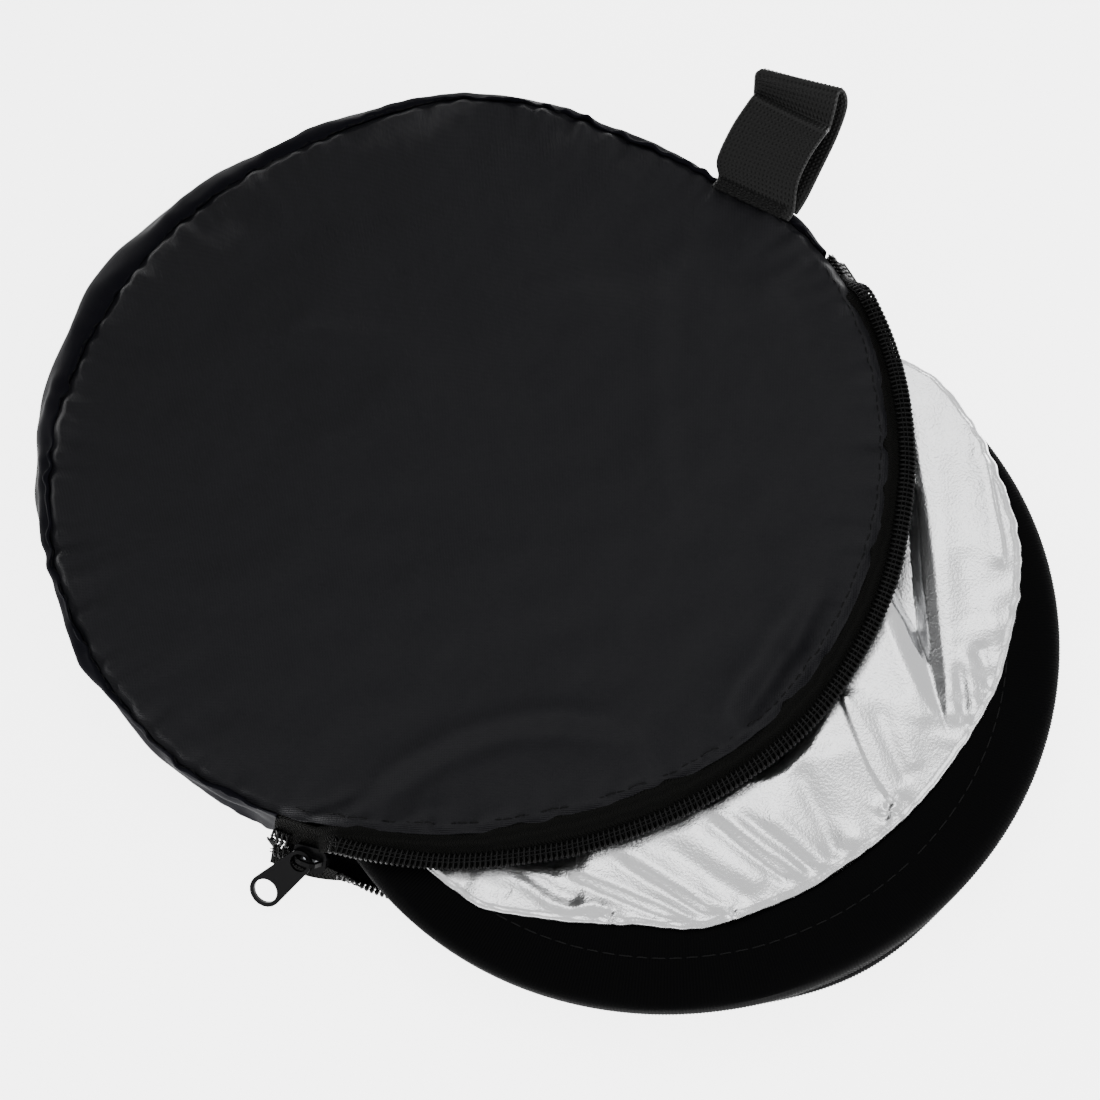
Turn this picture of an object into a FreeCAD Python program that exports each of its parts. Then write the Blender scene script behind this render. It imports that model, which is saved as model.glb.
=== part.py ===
import FreeCAD, Part
import math
import os

# Collapsible reflector (24 in class) folded to three coils, sliding out of its round zip bag.
# Row frame: origin at the bag's centre on the resting plane, +Z up, +X the way the disc comes out.

V = FreeCAD.Vector
doc = FreeCAD.newDocument("reflector")

# ---------------------------------------------------------------- driving dimensions (mm, degrees)
sheet = doc.addObject("Spreadsheet::Sheet", "dims")
DIMS = [
    ("bag_radius", 119.5), ("panel_edge", 119.0), ("cloth", 1.0), ("bag_top", 21.1),
    ("crown_rise", 2.0), ("crown_edge", 104.0),
    ("wall_belly", 127.5), ("wall_start", 75.5), ("wall_sweep", 215.0),
    ("strip_out", 127.5), ("strip_thick", 0.8), ("mouth_sweep", 144.5),
    ("loop_wide", 26.0), ("loop_thick", 1.6),
    ("hoop_mean", 100.6), ("coil_spread", 4.5), ("coil_rise", 4.35), ("coil_mid", 10.65),
    ("hoop_strip_thick", 0.8), ("hoop_strip_tall", 4.6),
    ("sleeve_in", 1.2), ("sleeve_out", 1.2), ("sleeve_tall", 6.0),
    ("cavity_half", 0.78), ("cavity_tall", 5.2),
    ("disc_x", 83.6), ("band_inner", 82.0), ("band_outer", 94.5), ("band_thick", 1.2),
    ("face_radius", 81.6), ("silver_low", 11.2), ("silver_high", 18.9),
    ("reverse_low", 3.6), ("reverse_high", 11.0),
    ("stitch_ring", 86.0), ("thread_r", 0.25),
    ("tab_len", 23.0), ("tab_wide_end", 9.6), ("tab_wide_root", 7.2), ("tab_thick", 1.0),
    ("tab_eye_r", 3.5), ("tab_hole_r", 2.6),
    ("slider_len", 10.0), ("slider_wide", 7.8), ("slider_plate", 1.0), ("slider_gap", 2.3),
]
for i, (name, val) in enumerate(DIMS):
    sheet.set("A%d" % (i + 1), name)
    sheet.set("B%d" % (i + 1), str(val))
    sheet.setAlias("B%d" % (i + 1), name)
doc.recompute()
D = {name: float(sheet.get(name)) for name, _ in DIMS}

PARTS = []          # (label, object) of every sub-part that is written


def keep(label, obj, placement=None):
    obj.Label = label
    if placement is not None:
        obj.Placement = placement
    PARTS.append((label, obj))
    return obj


def plane(body, role):
    for f in body.Origin.OriginFeatures:
        if f.Role == role:
            return f
    raise RuntimeError(role)


def new_body(name):
    return doc.addObject("PartDesign::Body", name)


def sketch_on(body, role, name):
    sk = body.newObject("Sketcher::SketchObject", name)
    sk.AttachmentSupport = [(plane(body, role), "")]
    sk.MapMode = "FlatFace"
    return sk


def closed_polygon(sk, pts):
    """Closed loop of lines with its corners tied together."""
    import Sketcher
    first = sk.GeometryCount
    n = len(pts)
    for k in range(n):
        a, b = pts[k], pts[(k + 1) % n]
        sk.addGeometry(Part.LineSegment(V(a[0], a[1], 0), V(b[0], b[1], 0)), False)
    for k in range(n):
        sk.addConstraint(Sketcher.Constraint("Coincident", first + k, 2, first + (k + 1) % n, 1))


def fix_vertex(sk, geo, x_expr, y_expr):
    """Dimension the start point of line geo from the sketch's axes."""
    import Sketcher
    p = sk.Geometry[geo].StartPoint
    if x_expr is not None:
        c = sk.addConstraint(Sketcher.Constraint("DistanceX", -1, 1, geo, 1, p.x))
        sk.setExpression("Constraints[%d]" % c, x_expr)
    if y_expr is not None:
        c = sk.addConstraint(Sketcher.Constraint("DistanceY", -1, 1, geo, 1, p.y))
        sk.setExpression("Constraints[%d]" % c, y_expr)


def revolve(body, sk, angle_expr, reverse=False):
    rev = body.newObject("PartDesign::Revolution", sk.Name + "_rev")
    rev.Profile = sk
    rev.ReferenceAxis = (sk, ["V_Axis"])
    rev.Angle = 360.0
    if angle_expr:
        rev.setExpression("Angle", angle_expr)
    rev.Reversed = reverse
    return rev


def ring_profile(name, label, pts, exprs, angle_expr=None, start=0.0, reverse=False):
    """Body of revolution about Z from a closed profile in the XZ plane."""
    body = new_body(name)
    sk = sketch_on(body, "XZ_Plane", name + "_profile")
    closed_polygon(sk, pts)
    for k, (ex, ey) in enumerate(exprs):
        if ex or ey:
            fix_vertex(sk, k, ex, ey)
    revolve(body, sk, angle_expr, reverse)
    return keep(label, body, FreeCAD.Placement(V(0, 0, 0), FreeCAD.Rotation(V(0, 0, 1), start)))


R = D["bag_radius"]
E = D["panel_edge"]
T = D["bag_top"]
C = D["cloth"]

# ---------------------------------------------------------------- bag: bottom and top panels
body = new_body("BottomPanel")
sk = sketch_on(body, "XY_Plane", "BottomPanel_outline")
import Sketcher
sk.addGeometry(Part.Circle(V(0, 0, 0), V(0, 0, 1), R), False)
sk.addConstraint(Sketcher.Constraint("Coincident", 0, 3, -1, 1))
c = sk.addConstraint(Sketcher.Constraint("Radius", 0, R))
sk.setExpression("Constraints[%d]" % c, "dims.bag_radius")
pad = body.newObject("PartDesign::Pad", "BottomPanel_pad")
pad.Profile = sk
pad.setExpression("Length", "dims.cloth")
keep("bag_bottom_panel", body)

ring_profile("TopPanel", "bag_top_panel",
             [(0, T + D["crown_rise"]), (D["crown_edge"], T), (E, T), (E, T + C), (D["crown_edge"], T + C),
              (0, T + C + D["crown_rise"])],
             [(None, "dims.bag_top + dims.crown_rise"), ("dims.crown_edge", "dims.bag_top"),
              ("dims.panel_edge", "dims.bag_top"), ("dims.panel_edge", "dims.bag_top + dims.cloth"),
              ("dims.crown_edge", "dims.bag_top + dims.cloth"),
              (None, "dims.bag_top + dims.cloth + dims.crown_rise")])

# ---------------------------------------------------------------- bag: side wall on the closed side
B = D["wall_belly"]
outer = [(E + 0.3, C), (B - 3.0, 5.0), (B, 10.5), (B - 3.4, 16.5), (E, T)]
inner = [(E - 1.0, T), (B - 4.5, 16.0), (B - 1.05, 10.5), (B - 4.0, 5.4), (E - 0.8, C)]
wall_pts = outer + inner
wall_ex = [("dims.panel_edge + 0.3", "dims.cloth"), ("dims.wall_belly - 3", None), ("dims.wall_belly", None),
           ("dims.wall_belly - 3.4", None), ("dims.panel_edge", "dims.bag_top"),
           ("dims.panel_edge - 1", "dims.bag_top"), ("dims.wall_belly - 4.5", None),
           ("dims.wall_belly - 1.05", None), ("dims.wall_belly - 4", None), ("dims.panel_edge - 0.8", "dims.cloth")]
ring_profile("SideWall", "bag_side_wall", wall_pts, wall_ex, "dims.wall_sweep", D["wall_start"])

# narrow gusset strip under the mouth, pressed flat by the disc
ring_profile("MouthStrip", "mouth_gusset_strip",
             [(R, 0.0), (D["strip_out"], 0.0), (D["strip_out"], D["strip_thick"]), (R, D["strip_thick"])],
             [("dims.bag_radius", None), ("dims.strip_out", None), ("dims.strip_out", "dims.strip_thick"),
              ("dims.bag_radius", "dims.strip_thick")],
             "dims.mouth_sweep", D["wall_start"] - D["mouth_sweep"] - 0.25)

# seam threads on the wall's two edges
for label, zed, rad in (("top_seam_thread", T - 1.2, E + 1.75), ("bottom_seam_thread", C + 0.9, E + 2.0)):
    tor = doc.addObject("Part::Torus", label)
    tor.Radius1 = rad
    tor.setExpression("Radius2", "dims.thread_r")
    tor.Angle3 = D["wall_sweep"] - 1.0
    keep(label, tor, FreeCAD.Placement(V(0, 0, zed), FreeCAD.Rotation(V(0, 0, 1), D["wall_start"] + 0.5)))

# ---------------------------------------------------------------- zip: tapes and coils as lofted bands
A0, A1 = D["wall_start"] - 144.4, D["wall_start"] - 0.8      # the mouth's two ends, degrees


def smooth(t):
    t = max(0.0, min(1.0, t))
    return t * t * (3 - 2 * t)


def openness(phi):
    """0 where the two chains meet at the mouth's ends, 1 where the disc spreads them."""
    lo = smooth((phi - (-63.8)) / 4.6)
    hi = smooth((71.0 - phi) / 8.0)
    return min(lo, hi)


def mix(a, b, k):
    return a + (b - a) * k


def band(label, closed_in, closed_out, open_in, open_out, thick, side, steps=64):
    """Cloth band between two (r, z) lines; side is +1 or -1 for the face the thickness is laid on."""
    wires = []
    for k in range(steps + 1):
        phi = A0 + (A1 - A0) * k / steps
        q = openness(phi)
        ri, zi = mix(closed_in[0], open_in[0], q), mix(closed_in[1], open_in[1], q)
        ro, zo = mix(closed_out[0], open_out[0], q), mix(closed_out[1], open_out[1], q)
        dr, dz = ro - ri, zo - zi
        ln = math.hypot(dr, dz)
        nr, nz = -dz / ln * side * thick, dr / ln * side * thick
        pts = [(ri, zi), (ro, zo), (ro + nr, zo + nz), (ri + nr, zi + nz)]
        ca, sa = math.cos(math.radians(phi)), math.sin(math.radians(phi))
        vs = [V(r * ca, r * sa, z) for r, z in pts]
        wires.append(Part.makePolygon(vs + [vs[0]]))
    shape = Part.makeLoft(wires, True, True)
    obj = doc.addObject("Part::Feature", label)
    obj.Shape = shape
    return keep(label, obj)


# lines as (r, z): the coil side of each tape, from its sewn edge to its coil edge; the upper coil lies
# on the upper lip's outer face, and the lower lip is turned over, so that its coil faces down
UP_TAPE_C, UP_EDGE_C = (E - 0.1, T - 1.7), (123.6, 12.2)
UP_TAPE_O, UP_EDGE_O = (E - 2.6, T - 0.05), (127.4, T - 0.05)
LO_TAPE_C, LO_EDGE_C = (129.3, 5.2), (125.6, 9.4)
LO_TAPE_O, LO_EDGE_O = (125.4, 0.9), (134.2, 2.1)
band("zip_tape_upper", UP_TAPE_C, UP_EDGE_C, UP_TAPE_O, UP_EDGE_O, 0.5, -1)
band("zip_tape_lower", LO_TAPE_C, LO_EDGE_C, LO_TAPE_O, LO_EDGE_O, 0.5, 1)


def along(a, b, back, fwd):
    """The line a-b near its b end, from b - back to b + fwd."""
    ln = math.hypot(b[0] - a[0], b[1] - a[1])
    ux, uz = (b[0] - a[0]) / ln, (b[1] - a[1]) / ln
    return (b[0] - ux * back, b[1] - uz * back), (b[0] + ux * fwd, b[1] + uz * fwd)


def coil(label, tape_c, edge_c, tape_o, edge_o, side):
    ci, co = along(tape_c, edge_c, 1.6, 1.5)
    oi, oo = along(tape_o, edge_o, 2.6, 1.0)
    gap = 0.08 * side
    nc = (-(edge_c[1] - tape_c[1]), edge_c[0] - tape_c[0])
    no = (-(edge_o[1] - tape_o[1]), edge_o[0] - tape_o[0])
    lc, lo = math.hypot(*nc), math.hypot(*no)
    ci, co = [(q[0] + nc[0] / lc * gap, q[1] + nc[1] / lc * gap) for q in (ci, co)]
    oi, oo = [(q[0] + no[0] / lo * gap, q[1] + no[1] / lo * gap) for q in (oi, oo)]
    band(label, ci, co, oi, oo, 1.6, side)


coil("zip_coil_upper", UP_TAPE_C, UP_EDGE_C, UP_TAPE_O, UP_EDGE_O, 1)
coil("zip_coil_lower", LO_TAPE_C, LO_EDGE_C, LO_TAPE_O, LO_EDGE_O, -1)

# ---------------------------------------------------------------- slider, in its own axes
PHI_S = -63.8
SU_ANG = 24.0
rad = V(math.cos(math.radians(PHI_S)), math.sin(math.radians(PHI_S)), 0)
SU = V(math.cos(math.radians(SU_ANG)), math.sin(math.radians(SU_ANG)), 0)      # along the chain, closing way
RO = V(SU.y, -SU.x, 0)                                                        # level, away from the bag
EL = math.radians(48.0)
SN = RO * math.cos(EL) + V(0, 0, math.sin(EL))                                # out of the front plate
SV = SN.cross(SU)                                                             # across, up towards the bag
SO = rad * 124.8 + V(0, 0, 11.0)                                              # middle of the chain


def slider_placement():
    m = FreeCAD.Matrix(SU.x, SV.x, SN.x, SO.x, SU.y, SV.y, SN.y, SO.y, SU.z, SV.z, SN.z, SO.z, 0, 0, 0, 1)
    return FreeCAD.Placement(m)


SP = slider_placement()

# the chain is left out where the slider runs, so that it moves clear of the stand-in coils
room = Part.makeBox(17.6, 9.4, 6.4, V(-8.4, -4.7, -3.2)).fuse(Part.makeBox(15.5, 8.6, 3.4, V(-6.0, -2.0, 2.8)))
room.Placement = SP
for label, obj in PARTS:
    if label.startswith("zip_"):
        obj.Shape = obj.Shape.cut(room)
L, W, PT, G = D["slider_len"], D["slider_wide"], D["slider_plate"], D["slider_gap"]


def plate_outline(wide_front, wide_back, length):
    f, b, h = wide_front / 2.0, wide_back / 2.0, length / 2.0
    return [(-h, -b + 0.9), (-h + 0.9, -b), (h - 2.4, -f), (h - 0.6, -f + 0.9), (h, -f + 2.2),
            (h, f - 2.2), (h - 0.6, f - 0.9), (h - 2.4, f), (-h + 0.9, b), (-h, b - 0.9)]


body = new_body("SliderBody")
# front plate
sk = sketch_on(body, "XY_Plane", "Slider_front_outline")
closed_polygon(sk, plate_outline(W, W - 1.4, L))
sk.AttachmentOffset = FreeCAD.Placement(V(0, 0, G / 2.0), FreeCAD.Rotation())
sk.setExpression(".AttachmentOffset.Base.z", "dims.slider_gap / 2")
pad = body.newObject("PartDesign::Pad", "Slider_front_plate")
pad.Profile = sk
pad.setExpression("Length", "dims.slider_plate")
# wedge post between the plates, at the two-throat end
sk = sketch_on(body, "XY_Plane", "Slider_post_outline")
closed_polygon(sk, [(L / 2 - 0.2, -1.1), (L / 2 - 0.2, 1.1), (L / 2 - 2.6, 0.75), (L / 2 - 4.0, 0.0), (L / 2 - 2.6, -0.75)])
sk.AttachmentOffset = FreeCAD.Placement(V(0, 0, -G / 2.0), FreeCAD.Rotation())
pad = body.newObject("PartDesign::Pad", "Slider_post")
pad.Profile = sk
pad.setExpression("Length", "dims.slider_gap + 0.2")
# back plate
sk = sketch_on(body, "XY_Plane", "Slider_back_outline")
closed_polygon(sk, plate_outline(W - 0.4, W - 1.6, L - 0.4))
sk.AttachmentOffset = FreeCAD.Placement(V(0, 0, -G / 2.0 - PT), FreeCAD.Rotation())
sk.setExpression(".AttachmentOffset.Base.z", "-dims.slider_gap / 2 - dims.slider_plate")
pad = body.newObject("PartDesign::Pad", "Slider_back_plate")
pad.Profile = sk
pad.setExpression("Length", "dims.slider_plate + 0.01")
# side flanges that close on the tapes
for s in (-1, 1):
    sk = sketch_on(body, "XY_Plane", "Slider_flange_%s" % ("a" if s < 0 else "b"))
    closed_polygon(sk, [(-L / 2 + 0.9, s * (W / 2 - 0.75)), (L / 2 - 2.6, s * (W / 2 - 0.15)),
                        (L / 2 - 2.6, s * (W / 2 - 0.9)), (-L / 2 + 0.9, s * (W / 2 - 1.4))])
    sk.AttachmentOffset = FreeCAD.Placement(V(0, 0, G / 2.0 - 0.55), FreeCAD.Rotation())
    pad = body.newObject("PartDesign::Pad", "Slider_flange_pad_%s" % ("a" if s < 0 else "b"))
    pad.Profile = sk
    pad.Length = 0.6
keep("zip_slider_body", body, SP)

# crown: the arch over the front plate that carries the pull tab
ZT = G / 2.0 + PT
CR = 1.2
arch_out = [(-3.6, ZT), (-3.5, ZT + 1.9), (-2.4, ZT + 3.3), (-0.8, ZT + 3.75), (1.6, ZT + 3.75), (3.1, ZT + 2.9), (4.2, ZT)]
arch_in = [(3.1, ZT), (2.3, ZT + 2.2), (1.3, ZT + 2.85), (-0.6, ZT + 2.85), (-1.8, ZT + 2.5), (-2.6, ZT + 1.5), (-2.6, ZT)]
body = new_body("SliderCrown")
sk = sketch_on(body, "XZ_Plane", "Crown_arch")
closed_polygon(sk, arch_out + arch_in)
pad = body.newObject("PartDesign::Pad", "Crown_pad")
pad.Profile = sk
pad.Length = CR
pad.Midplane = True
keep("zip_slider_crown", body, SP)

# lock pawl: small bent spring leaf standing on the front plate beside the arch's rear leg
body = new_body("LockPawl")
sk = sketch_on(body, "XZ_Plane", "Pawl_leaf")
closed_polygon(sk, [(2.9, ZT), (2.9, ZT + 0.25), (-1.6, ZT + 0.25), (-1.6, ZT)])
pad = body.newObject("PartDesign::Pad", "Pawl_pad")
pad.Profile = sk
pad.Length = 0.8
pad.Midplane = True
keep("slider_lock_pawl", body, SP)

# pull tab, lying over to the outside of the slider; it turns on the crown about the slider's own cross axis
TL, TW, TR = D["tab_len"], D["tab_wide_end"], D["tab_wide_root"]
PSI = math.radians(55.0)
PIV_U, PIV_W = 0.6, ZT + 1.35                      # lift axis, in slider axes
HOLE = (-2.1, -1.27)                               # centre of the tab's small hole, in slider axes
body = new_body("PullTab")
sk = sketch_on(body, "XY_Plane", "Tab_outline")
h1, h2 = TR / 2.0, TW / 2.0
HX = 3.8                                           # small hole centre from the root end
EX = TL - 4.8                                      # eye centre from the root end
N = 10
pts = []
for k in range(N + 1):
    t = math.radians(90 + 180.0 * k / N)
    pts.append((HX + h1 * 1.05 * math.cos(t), h1 * math.sin(t)))
for k in range(N + 1):
    t = math.radians(-90 + 180.0 * k / N)
    pts.append((EX + h2 * math.cos(t), h2 * math.sin(t)))
closed_polygon(sk, pts)
n0 = sk.GeometryCount
sk.addGeometry(Part.Circle(V(HX, 0, 0), V(0, 0, 1), D["tab_hole_r"]), False)
sk.addGeometry(Part.Circle(V(EX, 0, 0), V(0, 0, 1), D["tab_eye_r"]), False)
c = sk.addConstraint(Sketcher.Constraint("Radius", n0, D["tab_hole_r"]))
sk.setExpression("Constraints[%d]" % c, "dims.tab_hole_r")
c = sk.addConstraint(Sketcher.Constraint("Radius", n0 + 1, D["tab_eye_r"]))
sk.setExpression("Constraints[%d]" % c, "dims.tab_eye_r")
pad = body.newObject("PartDesign::Pad", "Tab_pad")
pad.Profile = sk
pad.setExpression("Length", "dims.tab_thick")
pad.Midplane = True
tdir = SU * (-math.cos(PSI)) + SV * (-math.sin(PSI))
tside = SN.cross(tdir)
hole_w = SO + SU * HOLE[0] + SV * HOLE[1] + SN * PIV_W
tor0 = hole_w - tdir * HX
m = FreeCAD.Matrix(tdir.x, tside.x, SN.x, tor0.x, tdir.y, tside.y, SN.y, tor0.y, tdir.z, tside.z, SN.z, tor0.z, 0, 0, 0, 1)
keep("pull_tab", body, FreeCAD.Placement(m))
eye = tor0 + tdir * EX
piv = SO + SU * PIV_U + SN * PIV_W
print("PULL axis", tuple(round(a, 5) for a in (SV.x, SV.y, SV.z)), "pivot", tuple(round(a, 3) for a in (piv.x, piv.y, piv.z)))
print("EYE", tuple(round(a, 3) for a in (eye.x, eye.y, eye.z)), "normal", tuple(round(a, 5) for a in (SN.x, SN.y, SN.z)),
      "tip z", round((eye + tdir * 4.8).z, 2))

# bar tacks that hold the tapes' ends in the wall
tk = []
for phi, z0 in ((A0 - 0.35, 12.0), (A1 + 0.35, 12.0)):
    b = Part.makeBox(1.2, 1.0, 9.0, V(124.4, -0.5, 6.5))
    b.rotate(V(0, 0, 0), V(0, 0, 1), phi)
    tk.append(b)
obj = doc.addObject("Part::Feature", "EndTacks")
obj.Shape = Part.makeCompound(tk)
keep("zip_end_bartacks", obj)

# ---------------------------------------------------------------- hang loop of 26 mm webbing
LW, LT = D["loop_wide"], D["loop_thick"]
# side view of the strap (outward distance s, height z): one closed teardrop with its ends at the root
LOOP_ORG = V(4.0, 0, 0)
LOOP_TURN = 8.0
outer_l = [(121.3, 21.8), (134.0, 22.0), (143.0, 23.7), (148.2, 27.6), (150.0, 32.6), (148.0, 36.8), (143.4, 38.7),
           (137.0, 38.2), (129.6, 34.8), (124.0, 30.4), (121.3, 26.8)]


def offset_loop(pts, d):
    n = len(pts)
    out = []
    for k in range(n):
        a, b, c2 = pts[k - 1], pts[k], pts[(k + 1) % n]
        e1 = (b[0] - a[0], b[1] - a[1]); e2 = (c2[0] - b[0], c2[1] - b[1])
        l1 = math.hypot(*e1); l2 = math.hypot(*e2)
        n1 = (-e1[1] / l1, e1[0] / l1); n2 = (-e2[1] / l2, e2[0] / l2)
        den = 1 + n1[0] * n2[0] + n1[1] * n2[1]
        out.append((b[0] + (n1[0] + n2[0]) / den * d, b[1] + (n1[1] + n2[1]) / den * d))
    return out


inner_l = offset_loop(outer_l, LT)
body = new_body("HangLoop")
sk = sketch_on(body, "YZ_Plane", "Loop_side_view")
closed_polygon(sk, outer_l)
closed_polygon(sk, inner_l)
pad = body.newObject("PartDesign::Pad", "Loop_pad")
pad.Profile = sk
pad.setExpression("Length", "dims.loop_wide")
pad.Midplane = True
LP = FreeCAD.Placement(LOOP_ORG, FreeCAD.Rotation(V(0, 0, 1), LOOP_TURN), V(0, 118.0, 0))
keep("hang_loop", body, LP)

# root tab of the webbing, sewn into the top seam
body = new_body("LoopRoot")
sk = sketch_on(body, "YZ_Plane", "Root_side_view")
closed_polygon(sk, [(110.5, T + C + 0.05), (119.6, T + C + 0.05), (119.6, T + C + 1.65), (110.5, T + C + 1.65)])
pad = body.newObject("PartDesign::Pad", "Root_pad")
pad.Profile = sk
pad.setExpression("Length", "dims.loop_wide")
pad.Midplane = True
keep("hang_loop_root", body, LP)

# box of stitches that holds the loop's root
st = []
for k in range(5):
    cyl = Part.makeCylinder(0.25, D["loop_wide"] - 5.0, V(-(D["loop_wide"] - 5.0) / 2.0, 112.0 + k * 1.5, T + C + 1.9), V(1, 0, 0))
    st.append(cyl)
obj = doc.addObject("Part::Feature", "LoopStitching")
obj.Shape = Part.makeCompound(st)
keep("hang_loop_stitching", obj, LP)

# ---------------------------------------------------------------- disc: hoop folded to three coils
HM, SPR, RISE, MID = D["hoop_mean"], D["coil_spread"], D["coil_rise"], D["coil_mid"]
TURN = math.radians(-163.0)
NP = 180


def coil_line(dr, dz, t0=0.0, t1=6 * math.pi, n=NP, closed=True):
    pts = []
    m2 = n if closed else n + 1
    for k in range(m2):
        th = t0 + (t1 - t0) * k / n
        r = HM + SPR * math.cos(th / 3.0) + dr
        z = MID + RISE * math.sin(2.0 * th / 3.0) + dz
        a = th + TURN
        pts.append(V(D["disc_x"] + r * math.cos(a), r * math.sin(a), z))
    cur = Part.BSplineCurve()
    if closed:
        cur.interpolate(Points=pts, PeriodicFlag=True)
    else:
        cur.interpolate(Points=pts)
    return cur.toShape()


def coil_solid(section, t0=0.0, t1=6 * math.pi, n=NP, closed=True):
    """Solid of a polygonal section, given as (radial, height) corners, that follows the folded hoop."""
    e = [coil_line(r, z, t0, t1, n, closed) for r, z in section]
    m2 = len(e)
    faces = [Part.makeRuledSurface(e[k], e[(k + 1) % m2]) for k in range(m2)]
    if not closed:
        for end in (0, 1):
            v = [x.Vertexes[-end].Point for x in e]
            faces.append(Part.Face(Part.makePolygon(v + [v[0]])))
    shell = Part.makeShell(faces)
    shell.sewShape()
    sh = Part.Shell(shell.Faces) if shell.ShapeType != "Shell" else shell
    s = Part.makeSolid(sh)
    if s.Volume < 0:
        s.reverse()
    return s


def block(r0, r1, z0, z1):
    return [(r0, z0), (r1, z0), (r1, z1), (r0, z1)]


ht, hh = D["hoop_strip_thick"] / 2.0, D["hoop_strip_tall"] / 2.0
hoop = coil_solid(block(-ht, ht, -hh, hh))
obj = doc.addObject("Part::Feature", "SpringHoop")
obj.Shape = hoop
keep("spring_hoop", obj)
line = coil_line(0, 0)
print("HOOP length", round(line.Length, 1), "open diameter", round(line.Length / math.pi, 1),
      "volume", round(hoop.Volume, 1), "section x length", round(4 * ht * hh * line.Length, 1))

ch, cz = D["cavity_half"], D["cavity_tall"] / 2.0
so, si, sz = D["sleeve_out"], D["sleeve_in"], D["sleeve_tall"] / 2.0
# ribbon folded over the hoop: outer wall with a lip above and below, open to the disc's middle
sleeve = coil_solid([(-si, -sz), (so, -sz), (so, sz), (-si, sz), (-si, cz), (ch, cz), (ch, -cz), (-si, -cz)])
obj = doc.addObject("Part::Feature", "RimBinding")
obj.Shape = sleeve
keep("rim_binding", obj)
print("SLEEVE volume", round(sleeve.Volume, 1), "expected", round(((si + so) * 2 * sz - (si + ch) * 2 * cz) * line.Length, 1))

f0 = 3.0 * math.pi - 0.12
ferr = coil_solid(block(-0.72, 0.72, -2.55, 2.55), f0, f0 + 0.24, 8, False).cut(hoop)
obj = doc.addObject("Part::Feature", "SpliceSleeve")
obj.Shape = ferr
keep("hoop_splice_sleeve", obj)

DX = FreeCAD.Placement(V(D["disc_x"], 0, 0), FreeCAD.Rotation())


def washer(name, label, z_expr, z_val):
    body = new_body(name)
    sk = sketch_on(body, "XY_Plane", name + "_outline")
    sk.addGeometry(Part.Circle(V(0, 0, 0), V(0, 0, 1), D["band_outer"]), False)
    sk.addGeometry(Part.Circle(V(0, 0, 0), V(0, 0, 1), D["band_inner"]), False)
    for g, al in ((0, "band_outer"), (1, "band_inner")):
        sk.addConstraint(Sketcher.Constraint("Coincident", g, 3, -1, 1))
        c = sk.addConstraint(Sketcher.Constraint("Radius", g, D[al]))
        sk.setExpression("Constraints[%d]" % c, "dims." + al)
    sk.AttachmentOffset = FreeCAD.Placement(V(0, 0, z_val), FreeCAD.Rotation())
    sk.setExpression(".AttachmentOffset.Base.z", z_expr)
    pad = body.newObject("PartDesign::Pad", name + "_pad")
    pad.Profile = sk
    pad.setExpression("Length", "dims.band_thick")
    return keep(label, body, DX)


BT = D["band_thick"]
washer("BandTop", "rim_band_top_coil", "dims.coil_mid + dims.coil_rise + 1.2", MID + RISE + 1.2)
washer("BandMiddle", "rim_band_middle_coil", "dims.coil_mid - dims.band_thick / 2", MID - BT / 2)
washer("BandBottom", "rim_band_bottom_coil", "dims.coil_mid - dims.coil_rise - 2.4", MID - RISE - 2.4)

# stitch line on the top band
tor = doc.addObject("Part::Torus", "RimStitching")
tor.setExpression("Radius1", "dims.stitch_ring")
tor.setExpression("Radius2", "dims.thread_r")
keep("rim_stitching", tor, FreeCAD.Placement(V(D["disc_x"], 0, MID + RISE + 1.2 + BT + D["thread_r"]), FreeCAD.Rotation()))

# folded faces: silver lobes above, reverse lobes below, closed soft solids
for name, label, lo, hi in (("SilverFace", "silver_face_panel", "silver_low", "silver_high"),
                            ("ReverseFace", "reverse_face_panel", "reverse_low", "reverse_high")):
    body = new_body(name)
    sk = sketch_on(body, "XY_Plane", name + "_outline")
    sk.addGeometry(Part.Circle(V(0, 0, 0), V(0, 0, 1), D["face_radius"]), False)
    sk.addConstraint(Sketcher.Constraint("Coincident", 0, 3, -1, 1))
    c = sk.addConstraint(Sketcher.Constraint("Radius", 0, D["face_radius"]))
    sk.setExpression("Constraints[%d]" % c, "dims.face_radius")
    sk.AttachmentOffset = FreeCAD.Placement(V(0, 0, D[lo]), FreeCAD.Rotation())
    sk.setExpression(".AttachmentOffset.Base.z", "dims." + lo)
    pad = body.newObject("PartDesign::Pad", name + "_pad")
    pad.Profile = sk
    pad.setExpression("Length", "dims.%s - dims.%s" % (hi, lo))
    keep(label, body, DX)

# ---------------------------------------------------------------- checks, then the files
doc.recompute()
bad = []
for o in doc.Objects:
    if "Invalid" in o.State or "Error" in o.State:
        bad.append("%s %s" % (o.Name, o.State))
for label, o in PARTS:
    s = o.Shape
    if s.isNull() or not s.isValid() or not s.Solids:
        bad.append("%s shape" % label)
if bad:
    raise SystemExit("failed: " + "; ".join(bad))

os.makedirs("parts", exist_ok=True)
lo = [1e9] * 3
hi = [-1e9] * 3
for label, o in PARTS:
    s = o.Shape
    bb = s.BoundBox
    lo = [min(a, b) for a, b in zip(lo, (bb.XMin, bb.YMin, bb.ZMin))]
    hi = [max(a, b) for a, b in zip(hi, (bb.XMax, bb.YMax, bb.ZMax))]
    print("%-24s solids %d  vol %9.1f  x %.1f..%.1f  y %.1f..%.1f  z %.2f..%.2f" % (
        label, len(s.Solids), s.Volume, bb.XMin, bb.XMax, bb.YMin, bb.YMax, bb.ZMin, bb.ZMax))
    s.exportStep("parts/%s.step" % label)
print("BOX", [round(a, 2) for a in lo], [round(a, 2) for a in hi], "nodes", len(PARTS))
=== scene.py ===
import math
import bpy
import numpy as np
from mathutils import Matrix, Vector


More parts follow.
